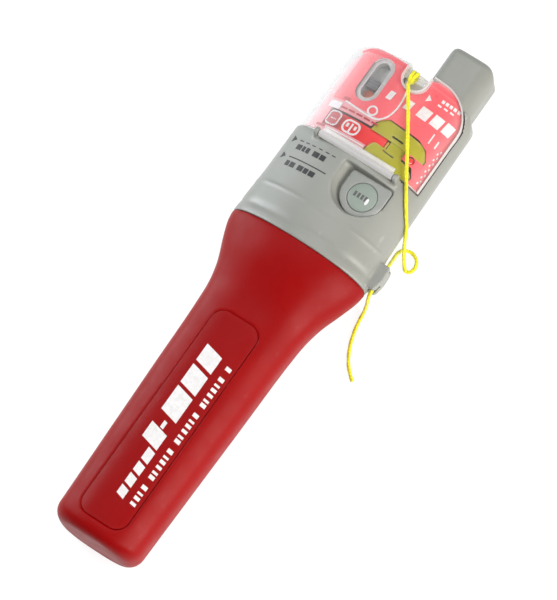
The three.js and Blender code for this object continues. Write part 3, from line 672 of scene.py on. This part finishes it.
RED_INK = printed("red print", (0.55, 0.01, 0.02))

for subpart in frame["record"]["subparts"]:
    carried = frame["nodes"][subpart["node"]]
    carried.data.materials.clear()
    carried.data.materials.append(LOOKS[subpart["material_slot"]])


# ---------------------------------------------------------------- trip cord and its knot
CORD_ROUTE = [
    (1.05, 168.55, 26.1), (1.3, 167.9, 26.65), (2, 166.9, 26.9), (4, 163.9, 26.75),
    (6.8, 159.7, 26.25), (9.5, 155.4, 25.55), (12.2, 151.1, 24.75), (14.8, 146.8, 23.7),
    (17.4, 142.5, 22.25), (19.9, 138.5, 20.5), (22, 135.2, 18.2), (23.6, 132.6, 15.1),
    (24.4, 130.5, 12), (24.8, 128.9, 8.4), (25.6, 127, 4.4), (26.6, 125.4, 1.5),
    (27.7, 124.4, 0.68), (29, 124.9, 0.62), (29.5, 126.8, 0.62), (28.5, 129.1, 0.62),
    (26.1, 130.3, 0.62), (23.8, 129.5, 1.5), (23.3, 127.4, 3.8), (24.3, 123.1, 8),
    (25.2, 120.4, 11.4), (25.5, 118.6, 12.2), (25.5, 115.3, 12.2), (25.5, 111.6, 12.2),
    (25.5, 109.7, 11.7), (25.4, 108.7, 9.6), (25.2, 108, 6.6), (24.9, 106.8, 3.2),
    (24.7, 105.1, 1.1), (24.9, 102.8, 0.64), (25.5, 99.9, 0.62), (27.1, 95.1, 0.62),
    (29.5, 90.8, 0.62), (31.6, 88.4, 0.62), (33.9, 86.4, 0.62),
]


def smooth_route(points, per_span=12, closed=False):
    """A centripetal Catmull-Rom curve through the points."""
    points = np.array(points, float)
    if closed:
        points = np.vstack([points[-1], points, points[:2]])
    else:
        points = np.vstack([2 * points[0] - points[1], points, 2 * points[-1] - points[-2]])
    out = []
    for i in range(1, len(points) - 2):
        p = points[i - 1:i + 3]
        knots = np.concatenate([[0], np.cumsum(np.linalg.norm(np.diff(p, axis=0), axis=1) ** 0.5)])
        for t in np.linspace(knots[1], knots[2], per_span, endpoint=False):
            def lerp(a, b, ka, kb):
                return ((kb - t) * a + (t - ka) * b) / (kb - ka)
            a = [lerp(p[k], p[k + 1], knots[k], knots[k + 1]) for k in range(3)]
            b = [lerp(a[k], a[k + 1], knots[k], knots[k + 2]) for k in range(2)]
            out.append(lerp(b[0], b[1], knots[1], knots[2]))
    if not closed:
        out.append(points[-2])
    return np.array(out)


def tube(name, route, radius, sides=18, strands=4, lay=4.2, relief=0.07, closed=False):
    """A tube along a route whose section is a bundle of twisted strands."""
    along = np.gradient(route, axis=0)
    along /= np.linalg.norm(along, axis=1)[:, None]
    run = np.concatenate([[0], np.cumsum(np.linalg.norm(np.diff(route, axis=0), axis=1))])
    side = np.cross(along[0], (0.3, 0.2, 1))
    rings = []
    turn = full_turn(sides)
    for centre, ahead, s in zip(route, along, run):
        side = side - ahead * side.dot(ahead)
        side /= np.linalg.norm(side)
        up = np.cross(side, ahead)
        swell = radius * (1 - relief + relief * np.cos(strands * (turn - 2 * np.pi * s / (strands * lay))))
        rings.append(centre + np.outer(swell * np.cos(turn), side) + np.outer(swell * np.sin(turn), up))
    rings = np.array(rings)
    if closed:
        count = len(rings)
        faces = [(k * sides + i, k * sides + (i + 1) % sides,
                  ((k + 1) % count) * sides + (i + 1) % sides, ((k + 1) % count) * sides + i)
                 for k in range(count) for i in range(sides)]
        return piece(name, rings.reshape(-1, 3), faces)
    return loft(name, rings)


def make_cord():
    route = smooth_route(CORD_ROUTE, 14)
    cord = tube("trip_line", route, CORD_RADIUS)
    dressed(cord, "cord_yellow", None, "trip_cord")
    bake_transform(cord)
    turn = full_turn(90)
    # two wraps round the eyelet bar, one passing over the other
    wrap = np.column_stack([
        1 + 0.62 * np.cos(turn), EYELET_Y + (1.72 + 0.16 * np.cos(2 * turn)) * np.cos(2 * turn + 0.4),
        EYELET_Z + (1.72 - 0.1 * np.sin(3 * turn)) * np.sin(2 * turn + 0.4)])
    knot = tube("trip_knot", wrap, CORD_RADIUS, closed=True)
    dressed(knot, "cord_yellow", "cap", "cord_knot")


make_cord()


# ---------------------------------------------------------------- grip
PANEL = (-8.4, 5, 8.4, 80, 4.5)


def panel_outline(margin):
    x0, y0, x1, y1, radius = PANEL
    return rounded(x0 + margin, y0 + margin, x1 - margin, y1 - margin, radius - margin)


def make_grip():
    ends = [0, 0.25, 0.6, 1.1, 1.7, 2.4, 3.2, 4, 5]
    stations = ends + list(np.arange(7, 84, 5)) + list(np.arange(84, 108.7, 1.2)) + [SEAM_Y - SEAM_GAP]
    outer = body_loft(stations)
    inner = body_loft([y + WALL for y in ends[::2]] + list(np.arange(12, 112, 4)), WALL, WALL)
    outer = cut(outer, inner)
    boss = common(box(15, 21, 94.2, 100.2, 8, 15), body_loft(np.arange(80, 104, 2), 0.9))
    outer = join(outer, boss)
    recess = cut(prism(panel_outline(0), 11, 40), body_loft(np.arange(2, 92, 6), 0.7))
    pocket = loft("pocket", [across_x(rounded(95.2, 10.2, 99.6, 13, 1.39, 10), x) for x in (19.1, 27.1)])
    outer = cut(outer, recess, pocket, rod_x(97.4, 11.6, 10, 25, 1))
    cast(outer, "grip_shell", 0.42, LOOKS["grip_red"], "root", ["handle_grip"])
    panel = plate("grip_panel", [panel_outline(GAP)], body_z(0.1), body_z(0.4), 1.0)
    dressed(panel, "label_red", "root", "grip_label")


def make_grip_print():
    """Plain slanted blocks and short dashes in place of the printed words."""
    small = [(14.5, 17.6), (18.6, 21.9), (22.9, 26.1), (27.1, 31.2)]
    large = [(32.2, 37.6), (42.2, 51), (52.2, 59), (60.4, 66.4)]
    lean = 1.6
    blocks = [[(-0.2, a + 0.8), (-0.2, b + 0.8), (2.6, b), (2.6, a)] for a, b in small]
    blocks += [[(-4, a + lean), (-4, b + lean), (2.4, b), (2.4, a)] for a, b in large]
    blocks.append([(-1, 38.9), (-1, 41.3), (0.2, 41), (0.2, 38.6)])
    step = 1.9
    dashes = []
    for i, y in enumerate(np.arange(14.4, 65, step)):
        if i % 7 != 4:
            wide = 1.0 + 0.35 * math.sin(2.7 * i)
            dashes.append([(5, y + 0.2), (5, y + wide + 0.2), (6.9, y + wide), (6.9, y)])
    print_marks = marks("grip_print", blocks + dashes, body_z(0.1), 0.01)
    finished(print_marks, WHITE_INK_AND_GLINT, "root")


make_grip()
make_grip_print()


# ---------------------------------------------------------------- head
SHOULDER = (23.1, 166.5, 172.3)
COLUMN = (4.2, 20.3, 3.2, 20.4)  # left, right, rear, front
COLUMN_FROM = 171
COLUMN_EDGES = (7, 6.4, 2.4, 4)  # radii of the long edges: rear right, front right, front left, rear left
COLUMN_LEFT_CORNER, COLUMN_RIGHT_CORNER = 3, 4.8
BODY_TOP, CORNER = 174, 10
BAY_BOTTOM, BAY_TOP, BAY_RIGHT = 141.9, 171.8, 21.6
CAP_BOTTOM, CAP_TOP, CAP_RIGHT, CAP_ARC = 142.3, 174.7, 21.3, 10.5
RECESS = (-1.5, 17, 123.8, 138.2)
PLATE = (1.6, 15.9, 124.8, 137.6)
BUTTON_FLOOR, BUTTON_POCKET, BUTTON_STEM, BUTTON_BORE = 21, 19.9, 0.45, 0.62
SCREWS = [(-12.5, 115.5), (12.5, 115.5), (-12.5, 167), (12.5, 160)]
EARS = (-14.6, 14.1)
EAR_THICK = 1.5


def head_outline(margin):
    """The head and its column seen from the front, drawn in by margin."""
    left, right = COLUMN[0] + margin, COLUMN[1] - margin
    top = LENGTH - margin
    side, start, end = SHOULDER[0] - margin, SHOULDER[1], SHOULDER[2]
    bend = [((1 - t) ** 2 * side + 2 * t * (1 - t) * (side - 0.2) + t * t * right,
             (1 - t) ** 2 * start + 2 * t * (1 - t) * (end - 2) + t * t * end)
            for t in np.linspace(0, 1, 12)]
    big, small = COLUMN_LEFT_CORNER, COLUMN_RIGHT_CORNER
    return ([(-30 + margin, 100), (30 - margin, 100), (30 - margin, 150)] + bend
            + arc(right - small, top - small, small, 0, 1)
            + arc(left + big, top - big, big, 1, 2)
            + [(left, BODY_TOP - margin)]
            + arc(-CAP_HALF + CORNER, BODY_TOP - CORNER, CORNER - margin, 1, 2)
            + [(-CAP_HALF + margin - 0.2, 150), (-30 + margin, 145)])


def column_ring(y, margin, draw):
    """The column's section: its sides drawn in by margin, its front and rear by draw."""
    x0, x1, z0, z1 = COLUMN
    x0, x1, z0, z1 = x0 + margin, x1 - margin, z0 + draw, z1 - draw
    points = []
    for radius, side, face, start in zip(COLUMN_EDGES, (1, 1, -1, -1), (-1, 1, 1, -1), (-1, 0, 1, 2)):
        r = max(radius - margin, 0.5)
        points += arc((x1 if side > 0 else x0) - side * r, (z1 if face > 0 else z0) - face * r, r,
                      start, start + 1, 12)
    return across_y(points, y)


def column_bar(margin, y0=COLUMN_FROM, soft_end=0.0):
    ends = [LENGTH + 2] if not soft_end else [LENGTH - soft_end * (1 - math.sin(t))
                                              for t in np.linspace(0, math.pi / 2, 9)]
    rings = [column_ring(y0, margin, margin)]
    for y in ends:
        draw = round_in(LENGTH - y, soft_end) if soft_end else 0
        rings.append(column_ring(y, margin, margin + draw))
    return loft("column", rings)


HEAD_STATIONS = [SEAM_Y + SEAM_GAP] + list(np.arange(109.5, 123, 0.4)) + list(np.arange(124, 172, 3)) + [190]


def head_whole():
    body = cut(body_loft(HEAD_STATIONS), box(-40, 40, BAY_TOP, 200, -5, 40))
    body = join(body, column_bar(0, soft_end=2.2))
    return common(body, prism(head_outline(0), -5, 40))


def u_shape(x0, x1, y0, y1):
    """A straight top edge with small corners over a half-round lower end."""
    radius = (x1 - x0) / 2
    return (arc(x1 - 1, y1 - 1, 1, 0, 1) + arc(x0 + 1, y1 - 1, 1, 1, 2)
            + arc(x0 + radius, y0 + radius, radius, 2, 4, 40))


def recess_cutter():
    """The button's recess: its wall slopes in from the face to the floor."""
    levels = [(BUTTON_FLOOR, 1.9), (22.6, 1.5), (24.4, 0.1), (25.2, 0), (40, 0)]
    rings = []
    for z, draw in levels:
        x0, x1, y0, y1 = RECESS
        rings.append(across_z(u_shape(x0 + draw, x1 - draw * 0.5, y0 + draw * 0.6, y1)[::-1], z))
    return loft("recess", rings)


def cavity():
    """The hollow inside the head, the bay's core and the column, less the wall."""
    low = cut(body_loft([100, 106, 112, 117, 125, 132, 138.4], WALL),
              box(RECESS[0] - 2, 30, RECESS[2] - 2, RECESS[3] + 2, BUTTON_FLOOR - 2, 40))
    bay = common(bay_core(WALL, 136, BAY_TOP - WALL), body_loft([100, 125, 142, 190], WALL))
    column = common(column_bar(WALL, COLUMN_FROM + WALL), prism(head_outline(WALL), -5, 40))
    passage = box(6.3, 17.7, COLUMN_FROM - 3, COLUMN_FROM + 3, COLUMN[2] + WALL, 13.1)
    return join(low, bay, column, passage)


def bosses(z0, z1):
    made = [rod_z(x, y, z0, z1, 3) for x, y in SCREWS]
    return join(made[0], *made[1:])


def bay_outline():
    """The bay seen from the front: its top right corner runs beside the cap's big arc."""
    x, y, top = CAP_RIGHT - CAP_ARC, CAP_TOP - CAP_ARC, BAY_TOP + 0.4
    radius = BAY_RIGHT - x
    return ([(-40, BAY_BOTTOM), (BAY_RIGHT, BAY_BOTTOM)]
            + arc(x, y, radius, 0, math.asin((top - y) / radius) / (math.pi / 2), 20) + [(-40, top)])


def make_head_front():
    shell = head_whole()
    open_bay = join(prism(bay_outline(), CENTRE, 40),
                    box(-40, -BAY_HALF, BAY_BOTTOM, 180, PARTING_Z - 2, 13))
    open_bay = cut(open_bay, bay_core(0, 130, 190), column_bar(0))
    shell = cut(shell, open_bay)
    posts = common(bosses(0, 25), twin_of(shell))
    shell = cut(shell, cavity())
    lug = prism([(23, 110.4), (26.4, 110.4), (26.85, 112), (27.2, 114.5), (27.1, 117), (26.8, 119.2),
                 (23, 119.2)], 9.2, 15.2)
    shell = join(shell, posts, lug)
    shell = cut(shell, box(-40, 40, 90, 200, -10, PARTING_Z + GAP / 2))
    for x in EARS:
        ear = rounded(139.6, 17, 142.1, 26.8, 0.9)
        shell = join(shell, loft("ear", [across_x(ear, v) for v in (x, x + EAR_THICK)]))
    shell = cut(shell, *[rod_z(x, y, 0, 12.6, 1.3) for x, y in SCREWS])
    shell = cut(shell, recess_cutter(), rod_z(*BUTTON, BUTTON_POCKET, 30, BUTTON_RADIUS + 0.2),
                rod_z(*BUTTON, 10, 30, BUTTON_BORE),
                rod_x(HINGE_Y, HINGE_Z, -13.1, 14.1, 1.45), rod_x(HINGE_Y, HINGE_Z, -14.1, 15.1, HINGE_BORE),
                rod_y(25.5, CENTRE, 90, 130, 1.3))
    moulded(shell, 0.38)
    shell = cut(shell, rod_z(*BUTTON, BUTTON_POCKET - 0.1, 22, BUTTON_RADIUS + 0.2),
                rod_z(*BUTTON, 10, 22, BUTTON_BORE + 0.1))
    shell.name = "head_shell"
    dressed(shell, "head_grey", "root", "head_front_shell")


def twin_of(obj):
    twin = obj.copy()
    twin.data = obj.data.copy()
    bpy.context.scene.collection.objects.link(twin)
    return twin


def make_rear_cover():
    skirt = common(body_loft(HEAD_STATIONS), prism(head_outline(0), -5, 40),
                   box(-40, COLUMN[0] + 3, BAY_TOP - 2, BODY_TOP, -5, 40))
    cover = join(head_whole(), skirt)
    posts = common(bosses(0, 10), twin_of(cover))
    cover = join(cut(cover, cavity()), posts)
    cover = cut(cover, box(-40, 40, 90, 200, PARTING_Z - GAP / 2, 60))
    for x, y in SCREWS:
        cover = cut(cover, rod_z(x, y, -1, 12, 1.3), rod_z(x, y, -1, 2.6, 2.4))
    cast(cover, "back_cover", 0.45, LOOKS["head_grey"], "root", ["rear_cover"])


def make_head_marks():
    """Two status arrows with their lines, and plain bars in place of words."""
    face = body_z(0)
    arrows = [[(-20.4, y - 1.15), (-18.9, y), (-20.4, y + 1.15)] for y in (136.8, 130.6)]
    dashes = [bar(x, 136.65, x + 1.3, 136.95) for x in (-17.6, -15.3, -13, -10.4, -7.9, -5.6)]
    line = [bar(-17.6, 130.55, -3.8, 130.9)]
    words = []
    for y, spans in ((133.7, [(-17.4, -15.6), (-15.2, -14.2), (-13.8, -12.6), (-11.2, -9), (-8.6, -6.7)]),
                     (127.6, [(-17.4, -16.1), (-15.7, -14), (-12.8, -10.9), (-10.5, -9), (-8.6, -6.6)])):
        words += [bar(a, y, b, y + 1.8) for a, b in spans]
    obj = marks("status_marks", arrows + dashes + line + words, face, 0.02)
    finished(obj, BLACK_INK, "root")


make_head_front()
make_rear_cover()
make_head_marks()


# ---------------------------------------------------------------- test button
def lathe(name, profile, x, y, count=72):
    turn = full_turn(count)
    rings = [np.column_stack([x + r * np.cos(turn), y - r * np.sin(turn), np.full(count, z)])
             for r, z in profile]
    return loft(name, rings)


def make_button():
    surround = plate("button_surround_plate", [u_shape(*PLATE), circle(*BUTTON, BUTTON_RADIUS + 0.22)[::-1]],
                     level(22.35), level(BUTTON_FLOOR + GAP), 0.9, 0.25)
    dressed(surround, "plate_grey", "root", "button_plate")
    button = lathe("button_cap", [
        (0.1, 15.8), (BUTTON_STEM, 15.8), (BUTTON_STEM, 17.4), (2.6, 17.4), (2.6, 18.3),
        (BUTTON_STEM, 18.3), (BUTTON_STEM, 20.9),
        (4.55, 20.9), (4.6, 22.1), (4.5, 22.35), (4.25, 22.46), (2.4, 22.52), (1.2, 22.5),
        (0.3, 22.49)], *BUTTON)
    sharp_by_angle(button, 40)
    dressed(button, "button_grey", "button", "test_button")
    x, y = BUTTON
    glyph = [bar(x - 2.9 + 1.25 * i, y - 0.9, x - 2.1 + 1.25 * i, y + 0.8) for i in range(4)]
    finished(marks("button_mark", glyph, level(22.5), 0.015, 0.03), DARK_LINE, "button")
    # painted highlight: a small white drop on the button's top standing for a reflection
    painted_glint = [(x + 2 + 0.5 * math.cos(t), y - 0.6 + 1.15 * math.sin(t)) for t in np.linspace(0, 6, 16)]
    finished(marks("button_painted_glint", [painted_glint], level(22.5), 0.05, 0.03), WHITE_INK_AND_GLINT, "button")


make_button()


# ---------------------------------------------------------------- slide switch
def stadium(half, y0, y1):
    return rounded(TRACK_X - half, y0, TRACK_X + half, y1, half - 0.01, 20)


def bay_z(lift):
    def height(x, y):
        share = np.clip(1 - (x / (BAY_HALF + lift)) ** 2, 0, 1)
        return CENTRE + (BAY_CROWN + lift) * np.sqrt(share)
    return height


def make_switch():
    frame_ring = plate_mesh([stadium(3.75, 157, 172.6), stadium(2.35, 158.4, 171.2)[::-1]],
                            crown_z(2.3), bay_z(GAP), 0.7)
    channel = plate_mesh([stadium(2.45, 158.3, 171.3)], bay_z(1.1), bay_z(GAP + 0.1), 0.7)
    track = sharp_by_angle(piece("switch_frame", *stack([frame_ring, channel])))
    dressed(track, "track_grey", "root", "switch_track")
    disc = plate("switch_disc", [circle(TRACK_X, 160.4, 1.7)], bay_z(1.8), bay_z(1.4), 0.5, 0.1)
    dressed(disc, "disc_orange", "root", "indicator_disc")
    x0, x1 = TRACK_X - 1.9, TRACK_X + 1.9

    def ribbed(x, y):
        ribs = np.clip(np.cos((y - 162.2) / 3.1 * 2 * np.pi * 3), -0.4, 0.4)
        return crown_z(2.7)(x, y) + 0.25 * ribs - 0.1
    knob = plate("switch_block", [rounded(x0, 162.2, x1, 165.3, 0.3, 4)], ribbed, bay_z(1.4), 0.2)
    dressed(knob, "slider_dark", "slider", "switch_slider")


make_switch()


# ---------------------------------------------------------------- spring-tape antenna and its clip
def quadratic(a, b, c, count=8):
    a, b, c = (np.array(p, float) for p in (a, b, c))
    return [tuple((1 - t) ** 2 * a + 2 * t * (1 - t) * b + t * t * c)
            for t in np.linspace(0, 1, count, endpoint=False)]


def wing(x0, x1, y0, y1, left_arc):
    return ([(x0, y0)] + quadratic((x1 - 0.6, y0), (x1, y0 + 0.2), (x1, y0 + 0.9))
            + quadratic((x1, y0 + 0.9), (x1 - 1, y1 - 1), (x1 - 5, y1 - 0.3))
            + quadratic((x0 + left_arc, y1), (x0 + 0.4, y1), (x0, y0)))


def make_tape_and_clip():
    tape = plate("spring_tape", [bar(-17.6, 145.4, 5.2, 150.9)], crown_z(3.1), crown_z(3.5), 0.8)
    dressed(tape, "tape_red", "root", "antenna_tape")
    tip = plate("tape_end", [bar(5.5, 145.6, 6.2, 150.2)], crown_z(3.1), crown_z(3.5), 0.4)
    dressed(tip, "tip_yellow", "root", "tape_tip")
    upper = [wing(-0.8, 18, 150.6, 156, 3), rounded(5.8, 151.9, 9.8, 152.5, 0.25, 4)[::-1]]
    lower = [wing(0.9, 17.4, 142.9, 147.8, 2.4), rounded(5.8, 146.6, 9.8, 147.2, 0.25, 4)[::-1]]
    bridge = [bar(6.6, 147, 11.8, 151.5)]
    sheets = ((upper, 2.1), (lower, 2.1), (bridge, 2.3))
    made = [plate_mesh(loops, crown_z(depth), crown_z(depth + 0.6), 0.5) for loops, depth in sheets]
    made.append(plate_mesh([bar(8, 148, 10.4, 150.4)], crown_z(2.8), bay_z(GAP), 0.6))
    clip = sharp_by_angle(piece("arched_clip", *stack(made)))
    dressed(clip, "clip_olive", "root", "tape_clip")
    rivet = plate("red_rivet", [circle(*RIVET, 1.1, 28)],
                  lambda x, y: crown_z(1.95)(x, y) - 0.25 * np.hypot(x - RIVET[0], y - RIVET[1]) ** 2,
                  bay_z(GAP), 0.3)
    dressed(rivet, "rivet_red", "root", "clip_rivet")


make_tape_and_clip()


# ---------------------------------------------------------------- clear cap
CAP_WALL = 1.2
NOTCH = (-1.8, 5.9, 167)


def notch_at(margin):
    """Middle in x, radius and middle in y of the notch's round end, widened by margin."""
    radius = (NOTCH[1] - NOTCH[0]) / 2 + margin
    return (NOTCH[1] + NOTCH[0]) / 2, radius, NOTCH[2] + radius - 2 * margin


def upper_edge(margin):
    """From the right side round the big corner, through the notch to its left edge."""
    middle, radius, notch_y = notch_at(margin)
    top, right, big = CAP_TOP - margin, CAP_RIGHT - margin, CAP_ARC - margin
    end = math.acos((middle + radius - right + big) / big) / (math.pi / 2)
    return arc(right - big, top - big, big, 0, end, 20) + arc(middle, notch_y, radius, 0, -2, 28)


def cap_outline(margin):
    """The cap seen from the front, drawn in by margin; its left side is left open for the crown."""
    middle, radius, _ = notch_at(margin)
    top = CAP_TOP - margin
    return ([(-40, CAP_BOTTOM), (CAP_RIGHT - margin, CAP_BOTTOM)] + upper_edge(margin)
            + [(middle - radius, top)]
            + arc(-CAP_HALF + CORNER, top - CORNER + margin, CORNER - margin, 1, 2, 14)
            + [(-CAP_HALF + margin, CAP_BOTTOM + 4), (-40, CAP_BOTTOM + 4)])


def soft_crown(depth):
    """The cap's crown bar, whose top end rolls over by a small radius."""
    shape = (CAP_HALF, CENTRE + CROWN, CENTRE - CROWN, CENTRE, 2)
    roll = 2.2
    top = CAP_TOP - depth
    rings = [ring(y, shape, depth, -20) for y in (CAP_BOTTOM - depth, 150)]
    rings += [ring(top - roll * (1 - math.sin(t)), shape, depth + roll * (1 - math.cos(t)), -20)
              for t in np.linspace(0, math.pi / 2, 8)]
    return loft("soft_crown", rings)


def make_cap():
    sheet = cut(soft_crown(0), soft_crown(CAP_WALL))
    front = common(sheet, prism(cap_outline(0), 5, 40), box(-40, 40, 130, 190, 6.4, 40))
    front = cut(front, box(0, 40, 130, 190, 0, CENTRE))
    solid = common(soft_crown(0), prism(cap_outline(0), 5, 40))
    end_wall = common(cut(solid, prism(cap_outline(CAP_WALL), 0, 45)),
                      box(-40, COLUMN[0] - 0.8, 164, 190, 6.4, 40))
    end_wall = cut(end_wall, box(NOTCH[0] - 3, 40, 160, 190, 0, CENTRE + 9.9))
    cap = join(front, end_wall, rod_x(EYELET_Y, EYELET_Z, NOTCH[0] - 0.5, NOTCH[1] + 0.5, 0.8))
    cast(cap, "clear_cover", 0.28, LOOKS["clear_plastic"], "cap", ["clear_cap"])


FILM_EDGE = 0.3  # how far the film stays inside the cap's outline
FILM_FRONT, FILM_BACK, PRINT_DEPTH = 1.5, 1.7, 1.42  # depths below the cap's face


def make_film():
    """The printed film behind the cap's face: strong pink, with pale parts at the left and below."""
    made_pink = plate_mesh(pink_outline(), crown_z(FILM_FRONT), crown_z(FILM_BACK), 0.8)
    pale = [[(-21.1, 143.2), (-18.0, 143.2), (-18.0, 171), (-19.4, 169.3), (-21.1, 165.5)],
            [(-18.0, 151.2), (-1.2, 151.2), (-0.7, 153), (0.4, 154.4), (-18.0, 154.4)],
            [(-18.0, 142.8), (0.9, 142.8), (0.9, 145.2), (-15.6, 145.2), (-15.6, 151.2), (-18.0, 151.2)]]
    made_pale = [plate_mesh([loop], crown_z(FILM_FRONT), crown_z(FILM_BACK), 0.8) for loop in pale]
    obj = piece("cover_film", *stack([made_pink] + made_pale))
    sharp_by_angle(obj)
    finished(obj, [LOOKS["film_pink"], PALE_FILM], "cap", ["cap_label"])
    for polygon in obj.data.polygons[len(made_pink[1]):]:
        polygon.material_index = 1


def pink_outline():
    """The strong pink part, open round the clip, with the switch's window as a hole."""
    middle, radius, _ = notch_at(FILM_EDGE)
    top = CAP_TOP - FILM_EDGE
    outline = ([(16.9, 142.7), (CAP_RIGHT - FILM_EDGE, 142.7)] + upper_edge(FILM_EDGE)
               + [(middle - radius, 173.8)]
               + arc(-CAP_HALF + CORNER, top - CORNER + FILM_EDGE, CORNER - FILM_EDGE, 1, 1.45, 8)
               + [(-17.9, 171), (-17.9, 154.4), (0.4, 154.4), (2.6, 156.1), (13.2, 155.9), (16.4, 154.6),
                  (18, 152), (18, 150.6), (12, 150.6), (12, 147.9), (15.8, 147.5), (17.3, 145)])
    return [outline, stadium(3.9, 156.9, 172.7)[::-1], circle(*RIVET, 1.25, 20)[::-1]]


def make_cap_print():
    """White lines, bars and two outlined symbols printed on the film."""
    face = crown_z(PRINT_DEPTH)
    swoosh = stroke(smooth_route([(1.7, 166.4, 0), (2.3, 163, 0), (2.2, 159, 0), (1.2, 156, 0),
                                  (-1, 153.9, 0), (-5, 153.6, 0), (-13, 154.6, 0)], 8)[:, :2], 0.55)
    loop = [circle(-3.6, 155.6, 1.75, 24), circle(-3.6, 155.6, 1.15, 24)[::-1]]
    big = [bar(7.9, 161.6, 11.4, 165.4, 0.5), bar(12.4, 161.9, 15.5, 165.7, 0.5),
           bar(16.4, 162.2, 19, 166, 0.4)]
    small = [bar(-2.8, 161.2, -1, 164.2, 0.4), bar(3.4, 161.3, 5.5, 164.6, 0.5)]
    arrow = [(7.9, 166.9), (9.4, 168.2), (7.9, 169.5)]
    ticks = [bar(x, 168.1 + 0.12 * (x - 12), x + 1.2, 168.7 + 0.12 * (x - 12)) for x in (11.6, 13.6, 15.6)]
    words = [bar(x, 169.5 + 0.1 * (x - 12), x + 0.9, 170.6 + 0.1 * (x - 12))
             for x in (12, 13.3, 14.6, 15.9, 17.2)]
    symbols = [[rounded(-15.2, 145.6, -10.8, 150.6, 1.3), rounded(-14.7, 146.1, -11.3, 150.1, 0.9)[::-1]],
               bar(-14, 147.7, -12, 148.1),
               [rounded(-9.2, 145.4, -3.2, 150, 2), rounded(-8.6, 146, -3.8, 149.4, 1.5)[::-1]],
               bar(-6.5, 146, -5.9, 149), bar(-8, 147.3, -7.2, 148.6), bar(-5.2, 147.3, -4.4, 148.6)]
    lines = [bar(15.4, 156.9, 15.8, 160.4), bar(17.5, 156.9, 17.9, 159.4),
             bar(-13.6, 143.1, 0.6, 143.7), bar(-13.6, 144.2, 0.6, 144.6), bar(-17.4, 151.2, -13.4, 153.6)]
    columns = [bar(19 + 0.5 * (i % 2), y, 19.35 + 0.5 * (i % 2), y + 0.7)
               for i, y in enumerate(np.arange(145, 158, 1.1))]
    every = [swoosh, loop] + big + small + [arrow] + ticks + words + symbols + lines + columns
    finished(marks("cover_print", every, face, 0.0, 0.05, 0.7), WHITE_INK_AND_GLINT, "cap")
    red = [bar(x, 152.1, x + 2.2, 152.7) for x in (-13, -10.2, -7.4, -4.6, -1.8)]
    red += [bar(-17.2, 144.2, -14, 145), bar(-14.2, 154.9, -11.8, 156),
            rounded(-14.9, 145.9, -11.1, 150.3, 1.1)]
    finished(marks("cover_print_red", red, face, 0.0, 0.05, 0.7), RED_INK, "cap")


def make_hinge_lip():
    """The cap's thick lip: a hinge barrel and a flat strap."""
    strap = box(-12.2, 13.2, HINGE_Y, CAP_BOTTOM + 1.0, HINGE_Z - 0.6, HINGE_Z + 0.6)
    lip = join(rod_x(HINGE_Y, HINGE_Z, -12.8, 13.8, 1.15), strap)
    lip = cut(lip, rod_x(HINGE_Y, HINGE_Z, -20, 20, HINGE_BORE))
    cast(lip, "hinge_lip", 0.2, MILKY, "cap", passes=1)


def make_notch_rim():
    """The thick milky rim round the cap's notch, and the clear cup inside it."""
    middle, radius, notch_y = notch_at(0)
    inner = arc(middle, notch_y, radius, 0, -2, 28)
    outer = arc(middle, notch_y, radius + 0.7, -2, 0, 28)
    loop = [(middle + radius, 173.6)] + inner + [(middle - radius, 174.3), (middle - radius - 0.7, 174.3)]
    loop += outer + [(middle + radius + 0.7, 173.6)]
    rim = plate("notch_rim", [loop], crown_z(-0.05), crown_z(3.2), 0.4)
    finished(rim, MILKY, "cap")
    cup = plate("notch_cup", [[(-1.4, 173.8), (-1.4, 170.4)] + arc(middle, 170.4, 3.4, 2, 4, 20)
                              + [(5.4, 173.2)]], crown_z(3.4), crown_z(4.1), 0.5)
    finished(cup, MILKY, "cap")


def make_edge_rim():
    """The thick milky edge down the cap's right side and round its top corner."""
    inset = 0.25
    right, top, big = CAP_RIGHT - inset, CAP_TOP - inset, CAP_ARC - inset
    path = [(17, CAP_BOTTOM + inset), (right, CAP_BOTTOM + inset)]
    path += arc(right - big, top - big, big, 0, 1, 20) + [(6.6, top)]
    rim = plate("edge_rim", [stroke(np.array(path), 0.5)], crown_z(-0.04), crown_z(2.4), 0.6)
    finished(rim, MILKY, "cap")


make_cap()
make_edge_rim()
make_hinge_lip()
make_notch_rim()
make_film()
make_cap_print()


# ---------------------------------------------------------------- stage
def make_floor():
    size = 1.5
    mesh = bpy.data.meshes.new("floor")
    mesh.from_pydata([(-size, -size, 0), (size, -size, 0), (size, size, 0), (-size, size, 0)], [],
                     [(0, 1, 2, 3)])
    floor = added("floor", mesh)
    surface = Surface("pale floor", Roughness=0.8, Emission_Strength=0.85,
                      Emission_Color=(1, 1, 1, 1))
    surface.link(surface.blend(surface.vary(6, 2, 0, 1), (0.22, 0.22, 0.22),
                               (0.26, 0.26, 0.26)), "Base Color")
    floor.data.materials.append(surface.material)


def area_light(name, location, target, size, power, colour=(1, 1, 1)):
    data = bpy.data.lights.new(name, "AREA")
    data.shape = "RECTANGLE"
    data.size, data.size_y = size
    data.energy = power
    data.color = colour
    lamp = added(name, data)
    lamp.location = location
    lamp.rotation_mode = "QUATERNION"
    lamp.rotation_quaternion = (Vector(target) - Vector(location)).to_track_quat("-Z", "Y")


def make_lights():
    world = bpy.data.worlds.new("studio")
    world.use_nodes = True
    world.node_tree.nodes["Background"].inputs["Color"].default_value = (0.95, 0.97, 1, 1)
    world.node_tree.nodes["Background"].inputs["Strength"].default_value = 0.3
    bpy.context.scene.world = world
    middle = (0, 0, 0.01)
    area_light("right softbox", (0.5, -0.05, 0.28), middle, (0.25, 0.6), 3.8, (1, 0.96, 0.9))
    area_light("left strip", (-0.45, 0.05, 0.2), middle, (0.15, 0.6), 2.3, (0.92, 0.96, 1))
    area_light("top softbox", (-0.05, 0.25, 0.7), middle, (0.4, 0.4), 0.9)


make_floor()
make_lights()
bpy.context.scene.view_settings.view_transform = "Standard"
